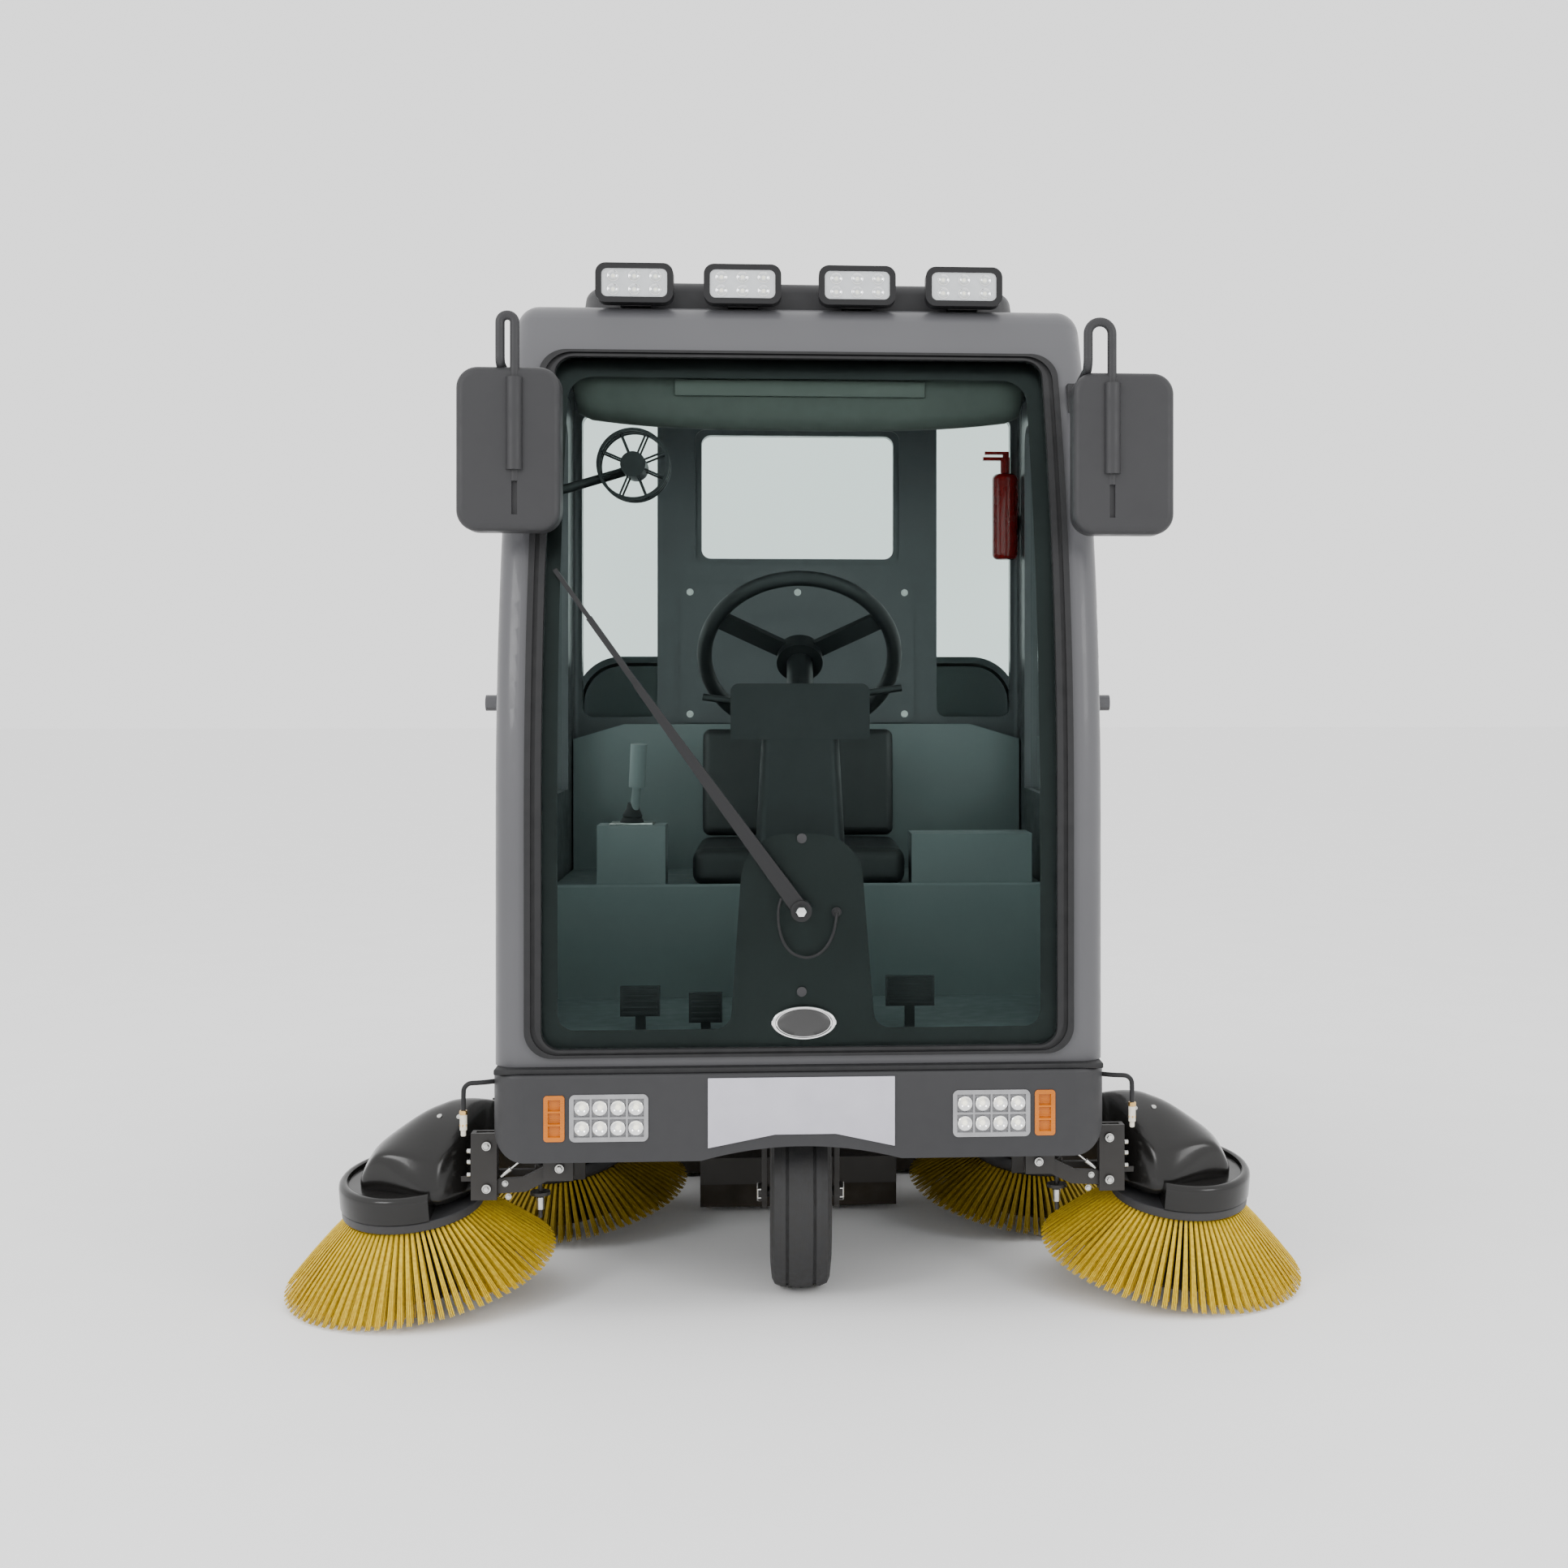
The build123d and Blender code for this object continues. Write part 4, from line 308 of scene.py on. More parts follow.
RING_RUBBER = finish("ring_rubber", (0.032, 0.032, 0.034), 0.45, mottle=0.1, grain=0.002, depth=0.00006)
SKIRT = finish("skirt_rubber", (0.030, 0.024, 0.017), 0.8, mottle=0.3, patch=0.08, grain=0.002,
               depth=0.0001)
ZINC = finish("zinc", (0.55, 0.55, 0.53), 0.32, metallic=1.0, mottle=0.15, patch=0.01, grain=0.002,
              depth=0.00003)
CHROME = finish("chrome", (0.75, 0.75, 0.75), 0.08, metallic=1.0, mottle=0.04)
BADGE_FACE = finish("badge_face", (0.07, 0.07, 0.07), 0.35, metallic=1.0, mottle=0.1, grain=0.002,
                    depth=0.00003)
BRASS = finish("brass", (0.65, 0.42, 0.16), 0.30, metallic=1.0, mottle=0.15, patch=0.01)
NOZZLE = finish("nozzle_plastic", (0.70, 0.66, 0.56), 0.35, mottle=0.1, patch=0.01)
RIM_PAINT = finish("rim_paint", (0.20, 0.20, 0.21), 0.45, grain=0.003, depth=0.00005, dirt=0.3)
LAMP_BOWL = finish("lamp_bowl", (0.88, 0.88, 0.88), 0.16, metallic=0.9, mottle=0.06, patch=0.01)
LAMP_BACK = finish("lamp_back", (0.82, 0.82, 0.81), 0.35, mottle=0.06, patch=0.02, emission=0.25)
HEADLAMP_BACK = finish("headlamp_back", (0.30, 0.30, 0.31), 0.35, mottle=0.1, patch=0.02)
LED = finish("led", (1.0, 0.97, 0.82), 0.4, mottle=0.02, patch=0.01, emission=0.8)
PANEL = finish("panel_film", (0.50, 0.49, 0.55), 0.38, mottle=0.04, patch=0.05, grain=0.002, depth=0.00002)
FRIT = finish("ceramic_print", (0.006, 0.006, 0.006), 0.35, mottle=0.3)
RED_PAINT = finish("red_enamel", (0.22, 0.008, 0.008), 0.25, mottle=0.1, coat=0.5)
RED_LENS = ribbed_finish("red_lens", (0.42, 0.008, 0.008), 0.18, 0.006)
AMBER_LENS = ribbed_finish("amber_lens", (0.52, 0.145, 0.006), 0.18, 0.003)
SCREEN_GLASS = clear_finish("screen_glass", (0.88, 0.94, 0.93), 0.0)
SIDE_GLASS = clear_finish("side_glass", (0.94, 0.97, 0.96), 0.0)
LENS = clear_finish("clear_lens", (0.94, 0.95, 0.96), 0.10, 0.05)
MIRROR = finish("silvered_glass", (0.88, 0.89, 0.90), 0.02, metallic=1.0, mottle=0.01)
BRISTLES = bristle_finish("bristles", 1.0)
# Same bristles darkened to 0.42 as painted shade for the rear brushes and the main roller, which sit in
# shadow
SHADED_BRISTLES = bristle_finish("shaded_bristles", 0.42)
TYRE = tyre_finish()
VINYL = vinyl_finish()

NODE_FINISHES = {
    PAINT: "cab_roof cab_front_frame cab_rear_wall door_left door_right rear_body rear_hood rear_door",
    MOULDING: "front_bumper roof_pod",
    MIRROR_SHELL: "mirrors",
    GLOSS: "front_cover_left front_cover_right rear_brush_arm_left rear_brush_arm_right",
    BLACK_STEEL: "frame_rails chassis_frame rear_axle front_fork roller_housing front_head_left "
    "front_head_right front_lower_arm_left front_lower_arm_right front_upper_arm_left front_upper_arm_right",
    TRIM: "roof_lamps driver_controls wiper steering_wheel cab_fan spray_pipes battery_pack",
    CABIN: "seat_box cab_floor consoles",
    RUBBER: "windscreen_seal",
    SKIRT: "rubber_skirts hopper",
    RIM_PAINT: "front_rim rear_rim_left rear_rim_right",
    TYRE: "front_tyre rear_tyre_left rear_tyre_right",
    SCREEN_GLASS: "windscreen",
    SIDE_GLASS: "rear_glass door_glass_left door_glass_right",
    MIRROR: "mirror_glass",
    HEADLAMP_BACK: "headlamps",
    AMBER_LENS: "indicator_lamps",
    RED_LENS: "rear_lamps",
    RED_PAINT: "extinguisher",
    VINYL: "driver_seat",
    BRISTLES: "front_brush_left front_brush_right",
    # Main roller and rear brushes take the darkened bristles: painted shade
    SHADED_BRISTLES: "main_roller rear_brush_left rear_brush_right",
}


def finish_nodes():
    """Give each CAD node its finish."""
    for material, names in NODE_FINISHES.items():
        for name in names.split():
            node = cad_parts[name]
            if not node.material_slots:
                node.data.materials.append(material)
            for slot in node.material_slots:
                slot.material = material


# ------------------------------------------------------------------ mesh building
class Shape:
    """Mesh under construction, in the row frame."""

    def __init__(self):
        self.mesh = bmesh.new()

    def box(self, low, high, bevel=0.0, segments=2):
        """Block between two corners with rounded edges."""
        low, high = Vector(low), Vector(high)
        size = Matrix.Diagonal((*(high - low), 1))
        made = bmesh.ops.create_cube(self.mesh, size=1, matrix=Matrix.Translation((low + high) / 2) @ size)
        if bevel:
            edges = list({edge for vertex in made["verts"] for edge in vertex.link_edges})
            bmesh.ops.bevel(self.mesh, geom=edges, offset=bevel, segments=segments, profile=0.5,
                            affect="EDGES")
        return self

    def lathe(self, profile, place, axis=(0, 0, 1), sides=32, stretch=(1, 1)):
        """Closed turned form: profile holds (radius, distance along the axis) from end to end."""
        turn = Vector((0, 0, 1)).rotation_difference(Vector(axis)).to_matrix().to_4x4()
        frame_of = Matrix.Translation(place) @ turn
        rings = []
        for radius, along in profile:
            ring = []
            for step in range(sides):
                angle = 2 * pi * step / sides
                spot = Vector((radius * cos(angle) * stretch[0], radius * sin(angle) * stretch[1], along))
                ring.append(self.mesh.verts.new(frame_of @ spot))
            rings.append(ring)
        for lower, upper in zip(rings, rings[1:]):
            for step in range(sides):
                after = (step + 1) % sides
                self.mesh.faces.new((lower[step], lower[after], upper[after], upper[step]))
        self.mesh.faces.new(list(reversed(rings[0])))
        self.mesh.faces.new(rings[-1])
        return self

    def rod(self, start, end, radius, end_radius=None, sides=24, edge=0.0):
        """Round bar between two points, with a small bevel at both ends."""
        start, run = Vector(start), Vector(end) - Vector(start)
        end_radius = radius if end_radius is None else end_radius
        profile = [(radius, 0), (end_radius, run.length)]
        if edge:
            profile = [(radius - edge, 0), (radius, edge), (end_radius, run.length - edge),
                       (end_radius - edge, run.length)]
        return self.lathe(profile, start, run, sides)

    def screw(self, place, axis, radius, height=0.004, head=6):
        """Washer with a hexagon or round head on it."""
        axis = Vector(axis).normalized()
        place = Vector(place)
        self.rod(place, place + axis * height * 0.3, radius * 1.35, sides=20)
        return self.rod(place, place + axis * height, radius, sides=head, edge=height * 0.15)

    def prism(self, outline, back_y, front_y, bevel=0.0):
        """Outline in X and Z drawn out along Y."""
        corners = [self.mesh.verts.new((x, back_y, z)) for x, z in outline]
        face = self.mesh.faces.new(corners)
        made = bmesh.ops.extrude_face_region(self.mesh, geom=[face])
        moved = [item for item in made["geom"] if isinstance(item, bmesh.types.BMVert)]
        bmesh.ops.translate(self.mesh, verts=moved, vec=(0, front_y - back_y, 0))
        if bevel:
            edges = list({edge for vertex in moved for edge in vertex.link_edges})
            bmesh.ops.bevel(self.mesh, geom=edges, offset=bevel, segments=2, profile=0.5, affect="EDGES")
        return self

    def done(self, name, material, body, smooth_angle=35):
        """Turn the mesh into a piece that rides on a body."""
        bmesh.ops.recalc_face_normals(self.mesh, faces=self.mesh.faces)
        data = bpy.data.meshes.new(name)
        self.mesh.to_mesh(data)
        self.mesh.free()
        return as_piece(data, name, material, body, smooth_angle)


def as_piece(data, name, material, body, smooth_angle=35):
    """Object for a finished mesh, smooth apart from its sharp edges, riding on a body."""
    data.polygons.foreach_set("use_smooth", [True] * len(data.polygons))
    data.set_sharp_from_angle(angle=radians(smooth_angle))
    data.materials.append(material)
    piece = bpy.data.objects.new(name, data)
    bpy.context.scene.collection.objects.link(piece)
    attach(piece, body)
    return piece


def tube(name, points, radius, material, body):
    """Bent tube through points, rounded at its bends."""
    data = bpy.data.curves.new(name, "CURVE")
    data.dimensions = "3D"
    data.bevel_depth = radius
    data.bevel_resolution = 5
    data.use_fill_caps = True
    line = data.splines.new("NURBS")
    line.points.add(len(points) - 1)
    for spot, place in zip(line.points, points):
        spot.co = (*place, 1)
    line.order_u = 4
    line.use_endpoint_u = True
    data.materials.append(material)
    piece = bpy.data.objects.new(name, data)
    bpy.context.scene.collection.objects.link(piece)
    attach(piece, body)
    return piece


def rounded(corners, steps=8):
    """Closed outline with each corner (x, z, radius) rounded by an arc."""
    outline = []
    count = len(corners)
    for index, (x, z, radius) in enumerate(corners):
        corner = Vector((x, z))
        before = Vector(corners[index - 1][:2]) - corner
        after = Vector(corners[(index + 1) % count][:2]) - corner
        half = before.angle(after) / 2
        reach = radius / (sin(half) / cos(half))
        middle = corner + (before.normalized() + after.normalized()).normalized() * radius / sin(half)
        start = corner + before.normalized() * reach - middle
        sweep = start.angle_signed(corner + after.normalized() * reach - middle)
        for step in range(steps + 1):
            outline.append(middle + Matrix.Rotation(-sweep * step / steps, 2) @ start)
    return outline


# ------------------------------------------------------------------ windscreen
def add_screen_print():
    """Black ceramic border on the inside of the windscreen, with a rounded tombstone in the middle."""
    outer = rounded([
        (-SCREEN_HALF_WIDTH, SCREEN_HIGH_Z, SCREEN_CORNER),
        (SCREEN_HALF_WIDTH, SCREEN_HIGH_Z, SCREEN_CORNER),
        (SCREEN_HALF_WIDTH, SCREEN_LOW_Z, SCREEN_CORNER),
        (-SCREEN_HALF_WIDTH, SCREEN_LOW_Z, SCREEN_CORNER),
    ])
    clear = rounded([
        (-0.441, 1.726, 0.045), (0.435, 1.726, 0.045), (0.437, 0.513, 0.030), (0.134, 0.513, 0.030),
        (0.106, 0.866, 0.085), (-0.104, 0.866, 0.085), (-0.128, 0.513, 0.030), (-0.438, 0.513, 0.030),
    ])
    curve = bpy.data.curves.new("screen_print_outline", "CURVE")
    curve.dimensions = "2D"
    curve.fill_mode = "BOTH"
    for outline in (outer, clear):
        line = curve.splines.new("POLY")
        line.points.add(len(outline) - 1)
        for spot, (x, z) in zip(line.points, outline):
            spot.co = (x, z, 0, 1)
        line.use_cyclic_u = True
    holder = bpy.data.objects.new("screen_print_outline", curve)
    flat = bmesh.new()
    flat.from_mesh(bpy.data.meshes.new_from_object(holder))
    bpy.data.objects.remove(holder)
    slices = 44
    for step in range(1, slices):
        height = SCREEN_LOW_Z + (SCREEN_HIGH_Z - SCREEN_LOW_Z) * step / slices
        bmesh.ops.bisect_plane(flat, geom=flat.verts[:] + flat.edges[:] + flat.faces[:],
                               plane_co=(0, height, 0), plane_no=(0, 1, 0))
    behind = -(GLASS_INSET + GLASS_THICKNESS + 0.0006)
    for vertex in flat.verts:
        height = vertex.co.y
        vertex.co = (vertex.co.x, screen_y(height, behind), height)
    data = bpy.data.meshes.new("screen_print")
    flat.to_mesh(data)
    flat.free()
    as_piece(data, "screen_print", FRIT, "chassis", 60)


def add_screen_fittings():
    """Blanking plugs, the bare oval badge, the washer pipe and its grommet."""
    face_y = CAB_FRONT_Y + GLASS_INSET
    forward = (0, -1, 0)
    plugs = Shape()
    for z in (0.858, 0.580):
        plugs.lathe([(0.009, 0), (0.009, 0.0015), (0.006, 0.003)], (0.001, face_y, z), forward, 24)
    plugs.done("screen_plugs", MOULDING, "chassis")
    centre, ratio = (0.005, face_y, 0.524), 0.52
    rim = [(0.0585, 0), (0.0585, 0.003), (0.056, 0.005), (0.052, 0.005), (0.050, 0.0022), (0.048, 0.002)]
    ring = Shape().lathe(rim, centre, forward, 64, stretch=(1, ratio))
    ring.done("badge_ring", CHROME, "chassis", 50)
    dome = [(0.049, 0.0015), (0.047, 0.0032), (0.030, 0.0042)]
    face = Shape().lathe(dome, centre, forward, 64, stretch=(1, ratio))
    face.done("badge_blank", BADGE_FACE, "chassis", 50)
    hole_x, hole_z = 0.064, 0.724
    collar = [(0.009, 0), (0.009, 0.003), (0.006, 0.006), (0.005, 0.012)]
    grommet = Shape().lathe(collar, (hole_x, face_y, hole_z), forward, 24)
    grommet.done("washer_grommet", RUBBER, "chassis")
    # Places across, in front of the glass, and up
    loop = [(hole_x, 0.008, hole_z), (hole_x, 0.022, 0.726), (0.062, 0.024, 0.690), (0.040, 0.020, 0.652),
            (0.008, 0.018, 0.640), (-0.026, 0.020, 0.655), (-0.042, 0.022, 0.695), (-0.043, 0.024, 0.735),
            (-0.036, 0.026, 0.752)]
    route = [(x, face_y - proud, z) for x, proud, z in loop]
    tube("washer_pipe", route, 0.0024, RUBBER, "chassis")


def add_wiper_nut():
    """Chromed nut on the wiper's pivot."""
    dome = [(0.012, 0), (0.012, 0.006), (0.009, 0.011), (0.004, 0.013)]
    nut = Shape().lathe(dome, (0, WIPER_PIVOT_Y, WIPER_PIVOT_Z), (0, -1, 0), 6)
    nut.done("wiper_nut", CHROME, "wiper", 30)


# ------------------------------------------------------------------ cab inside
def add_roof_liner():
    """Moulded liner over the driver, its front edge arched, with a flat cover for the cabin lamp."""
    half, steps = 0.452, 36
    section = [(-0.812, 1.806), (-0.838, 1.730), (-0.838, 1.655), (-0.826, 1.634), (-0.806, 1.632),
               (-0.780, 1.650), (-0.740, 1.700), (-0.660, 1.762), (-0.520, 1.790), (-0.100, 1.802)]
    shape = Shape()
    rows = []
    for step in range(steps + 1):
        along = 2 * step / steps - 1
        lift = 0.026 * abs(along) ** 3 + 0.10 * max(abs(along) - 0.94, 0) / 0.06
        row = []
        for y, z in section:
            weight = max(0.0, min(1.0, (1.790 - z) / 0.15))
            row.append(shape.mesh.verts.new((half * along, y, z + lift * weight)))
        rows.append(row)
    for left, right in zip(rows, rows[1:]):
        for index in range(len(section) - 1):
            shape.mesh.faces.new((left[index], left[index + 1], right[index + 1], right[index]))
    liner = shape.done("roof_liner", LINER, "chassis", 60)
    wall = liner.modifiers.new("wall", "SOLIDIFY")
    wall.thickness = 0.004
    cover = Shape().box((-0.242, -0.8435, 1.694), (0.242, -0.836, 1.726), 0.003)
    cover.done("cabin_lamp_cover", LIGHT_TRIM, "chassis")


def add_wall_details():
    """Screws of the service panel."""
    screws = Shape()
    for x in (-PANEL_HALF_WIDTH + 0.022, 0, PANEL_HALF_WIDTH - 0.022):
        for z in (PANEL_LOW_Z + 0.02, PANEL_HIGH_Z - 0.02):
            screws.screw((x, WALL_INNER_Y - 0.006, z), (0, -1, 0), 0.006, 0.004, 20)
    screws.done("service_panel_screws", ZINC, "chassis")


def add_horn_button():
    """Horn button in the middle of the steering wheel."""
    axis = Vector((0, sin(WHEEL_RAKE), cos(WHEEL_RAKE)))
    horn = Shape().lathe([(0.036, 0.008), (0.036, 0.014), (0.030, 0.019), (0.012, 0.021)], WHEEL_CENTRE, axis)
    horn.done("horn_button", CABIN, "steering_wheel")


def add_lever_details():
    """Zinc gate and rubber boot of the direction lever."""
    gate = Shape().box((-0.395, -0.520, 0.8455), (-0.305, -0.452, 0.850), 0.0015)
    gate.done("lever_gate", ZINC, "chassis")
    bellows = [(0.026, 0), (0.020, 0.012), (0.021, 0.016), (0.014, 0.030), (0.011, 0.042)]
    boot = Shape().lathe(bellows, (-0.350, -0.488, 0.849), (0.05, -0.1, 1), 24)
    boot.done("lever_boot", RUBBER, "chassis")


def add_pedal_ribs():
    """Level rubber ribs on the pads of the pedals."""
    back_y, front_y, edge, pitch = -0.9475, -0.9515, 0.005, 0.011
    pads = Shape()
    for x, z, width in PEDALS:
        reach = width / 2 - edge
        for row in range(5):
            height = z + (row - 2) * pitch
            pads.box((x - reach, front_y, height - 0.003), (x + reach, back_y, height + 0.003), 0.001)
    pads.done("pedal_ribs", RUBBER, "chassis")


def add_seat():
    """Padded cushion and backrest in the space of the CAD seat."""
    low, high = (Vector(corner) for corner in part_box("driver_seat"))

    def pad(name, start, end, crown_axis, tilt=0.0):
        shape = Shape()
        shape.box(start, end, min(Vector(end) - Vector(start)) * 0.32, 5)
        bmesh.ops.subdivide_edges(shape.mesh, edges=shape.mesh.edges[:], cuts=2, use_grid_fill=True)
        middle = (Vector(start) + Vector(end)) / 2
        half = (Vector(end) - Vector(start)) / 2
        for vertex in shape.mesh.verts:
            local = [(vertex.co[i] - middle[i]) / half[i] for i in range(3)]
            others = [i for i in range(3) if i != crown_axis]
            fall = max(0, 1 - local[others[0]] ** 2) * max(0, 1 - local[others[1]] ** 2)
            seam = 0.006 * (abs(abs(local[0]) - 0.62) < 0.03)
            if local[crown_axis] * (1 if crown_axis == 2 else -1) > 0.5:
                vertex.co[crown_axis] += (1 if crown_axis == 2 else -1) * (0.012 * fall - seam)
        if tilt:
            bmesh.ops.rotate(shape.mesh, cent=(0, end[1], start[2]), matrix=Matrix.Rotation(tilt, 3, "X"),
                             verts=shape.mesh.verts)
        piece = shape.done(name, VINYL, "chassis", 60)
        smooth = piece.modifiers.new("smooth", "SUBSURF")
        smooth.levels = smooth.render_levels = 1
        return piece

    cushion = pad("seat_cushion", (low.x + 0.002, low.y + 0.002, SEAT_TOP_Z),
                  (high.x - 0.002, -0.170, 0.796), 2)
    pad("seat_back", (low.x + 0.012, -0.256, 0.800), (high.x - 0.012, -0.200, high.z - 0.008), 1,
        radians(-6))
    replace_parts(cushion, "driver_seat")


# ------------------------------------------------------------------ lamps
def add_lamp_cups(name, centres, radius, depth, front_y, body="chassis"):
    """Bright bowls with a light-emitting chip in each."""
    cups, chips = Shape(), Shape()
    for x, z in centres:
        bowl = ((1, 0), (1, 0.9), (0.93, 1), (0.85, 0.8), (0.5, 0.25), (0.3, 0.15))
        cups.lathe([(radius * share, depth * along) for share, along in bowl],
                   (x, front_y + depth, z), (0, -1, 0), 24)
        chips.lathe([(radius * 0.36, 0), (radius * 0.36, depth * 0.3), (radius * 0.2, depth * 0.55)],
                    (x, front_y + depth * 0.95, z), (0, -1, 0), 16)
    cups.done(name + "_bowls", LAMP_BOWL, body, 30)
    chips.done(name + "_leds", LED, body, 30)


def lamp_outline(x, half_width, half_height, radius):
    """Round-cornered outline round the middle of a roof lamp."""
    high, low = ROOF_LAMP_Z + half_height, ROOF_LAMP_Z - half_height
    return rounded([(x - half_width, high, radius), (x + half_width, high, radius),
                    (x + half_width, low, radius), (x - half_width, low, radius)])


def add_bezel(shape, outer, inner, front_y, back_y):
    """Flat frame between two outlines with as many corners."""
    paths = ((outer, back_y), (outer, front_y), (inner, front_y), (inner, back_y))
    loops = [[shape.mesh.verts.new((x, y, z)) for x, z in path] for path, y in paths]
    for first, second in zip(loops, loops[1:] + loops[:1]):
        for index in range(len(first)):
            after = (index + 1) % len(first)
            shape.mesh.faces.new((first[index], first[after], second[after], second[index]))


def add_lamps():
    """Roof lamps with round-cornered housings, and the inside of the headlamps."""
    housings, bezels, backs, lenses = Shape(), Shape(), Shape(), Shape()
    face_y, z = ROOF_LAMP_Y, ROOF_LAMP_Z
    roof_cups = []
    for x in (-ROOF_LAMP_X[1], -ROOF_LAMP_X[0], ROOF_LAMP_X[0], ROOF_LAMP_X[1]):
        body, window = lamp_outline(x, *ROOF_LAMP_BODY), lamp_outline(x, *ROOF_LAMP_WINDOW)
        housings.prism(body, face_y + 0.034, face_y + 0.0066, 0.003)
        housings.prism(lamp_outline(x, 0.066, 0.030, 0.014), face_y + 0.056, face_y + 0.034)
        for fin in range(7):
            fin_x = x - 0.054 + 0.018 * fin
            housings.box((fin_x - 0.002, face_y + 0.030, z - 0.034),
                         (fin_x + 0.002, face_y + 0.058, z + 0.034), 0.0008, 1)
        housings.box((x - 0.030, face_y + 0.032, ROOF_Z), (x + 0.030, face_y + 0.056, z - 0.020), 0.002)
        add_bezel(bezels, body, window, face_y, face_y + 0.0072)
        backs.prism(window, face_y + 0.0062, face_y + 0.0036)
        lenses.prism(lamp_outline(x, 0.0632, 0.0272, 0.011), face_y + 0.0016, face_y + 0.0006)
        roof_cups += [(x + column * 0.041, z + row * 0.013) for column in (-1, 0, 1) for row in (-1, 1)]
    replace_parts(housings.done("roof_lamp_housings", TRIM, "chassis", 40), "roof_lamps")
    bezels.done("roof_lamp_bezels", TRIM, "chassis", 40)
    backs.done("roof_lamp_backs", LAMP_BACK, "chassis")
    lenses.done("roof_lamp_lenses", LENS, "chassis")
    add_lamp_cups("roof_lamp", roof_cups, 0.0112, 0.0030, face_y + 0.0004)
    head_cups = [
        (side * HEADLAMP_X + (column - 1.5) * 0.032, HEADLAMP_Z + row * 0.018)
        for side in (-1, 1) for column in range(4) for row in (-1, 1)
    ]
    add_lamp_cups("headlamp", head_cups, 0.0132, 0.0068, BUMPER_FRONT_Y - 0.0022)


# ------------------------------------------------------------------ bumper
def add_number_panel():
    """Bare panel in the bumper, its lower edge arched over the wheel, and the gasket above it."""
    gasket = Shape().box((-0.548, -1.105, 0.4402), (0.548, -1.047, 0.4498), 0.002)
    gasket.done("cab_gasket", RUBBER, "chassis")
    outline = [(-0.167, 0.432), (-0.167, 0.307), (-0.047, 0.330),
               (0.062, 0.330), (0.168, 0.307), (0.168, 0.432)]
    panel = Shape().prism(outline, BUMPER_FRONT_Y - 0.0002, BUMPER_FRONT_Y - 0.0032, 0.001)
    panel.done("number_panel", PANEL, "chassis")


# ------------------------------------------------------------------ linkage and covers
def add_linkage_details(name, side):
    """Nuts on the pivots, bolts of the bracket and the arm, and the end of the lift cable."""
    forward, front = (0, -1, 0), LINK_Y - 0.020
    inner, outer, arm = Shape(), Shape(), Shape()
    for rise in (0, LINK_RISE):
        inner.screw((side * LINK_INNER[0], front, LINK_INNER[1] + rise), forward, 0.0060, 0.008)
        outer.screw((side * LINK_OUTER[0], front, LINK_OUTER[1] + rise), forward, 0.0060, 0.008)
    bolt_y = LINK_Y - 0.010
    for z in (0.284, 0.264, 0.241):
        outer.rod((side * 0.602, bolt_y, z), (side * 0.610, bolt_y, z), 0.0045, sides=16, edge=0.001)
    for x, z in ((0.541, 0.223), (0.535, 0.199)):
        arm.screw((side * x, LINK_Y - 0.006, z), forward, 0.0042, 0.005, 20)
    inner.done(f"inner_nuts_{name}", ZINC, "chassis")
    outer.done(f"outer_nuts_{name}", ZINC, f"front_head_{name}")
    arm.done(f"arm_bolts_{name}", ZINC, f"front_lower_arm_{name}")
    cable = Shape()
    joint = (side * 0.531, LINK_Y, 0.249)
    cable.rod((side * 0.550, LINK_Y, 0.234), joint, 0.0042, sides=20, edge=0.001)
    cable.rod(joint, (side * 0.503, LINK_Y, 0.271), 0.0018, sides=12)
    cable.done(f"cable_end_{name}", ZINC, f"front_lower_arm_{name}")


def add_head_details(name, side):
    """Sleeve on the height rod, and the guard plate behind the brush with its bracket."""
    rod_x, rod_y = side * HEIGHT_ROD[0], HEIGHT_ROD[1]
    sleeve = Shape().rod((rod_x, rod_y, 0.160), (rod_x, rod_y, 0.184), 0.0072, edge=0.001)
    sleeve.done(f"height_sleeve_{name}", ZINC, f"front_head_{name}")
    back_y = -0.757
    guard = Shape()
    for inner_x, outer_x, front_y, low_z, high_z in (
        (0.420, 0.600, -0.763, 0.168, 0.330), (0.590, 0.603, -0.860, 0.226, 0.238)
    ):
        left_x, right_x = sorted((side * inner_x, side * outer_x))
        guard.box((left_x, front_y, low_z), (right_x, back_y, high_z), 0.001)
    guard.done(f"head_guard_{name}", BLACK_STEEL, f"front_head_{name}")


def add_axle_nut(name, side):
    """Nut on one end of the front axle."""
    start = (side * (FORK_OUTER_X + 0.0001), FRONT_AXLE_Y, FRONT_AXLE_Z)
    end = (side * (FORK_OUTER_X + 0.0095), FRONT_AXLE_Y, FRONT_AXLE_Z)
    nut = Shape().rod(start, end, 0.0178, sides=6, edge=0.0015)
    nut.done(f"axle_nut_{name}", ZINC, "fork")


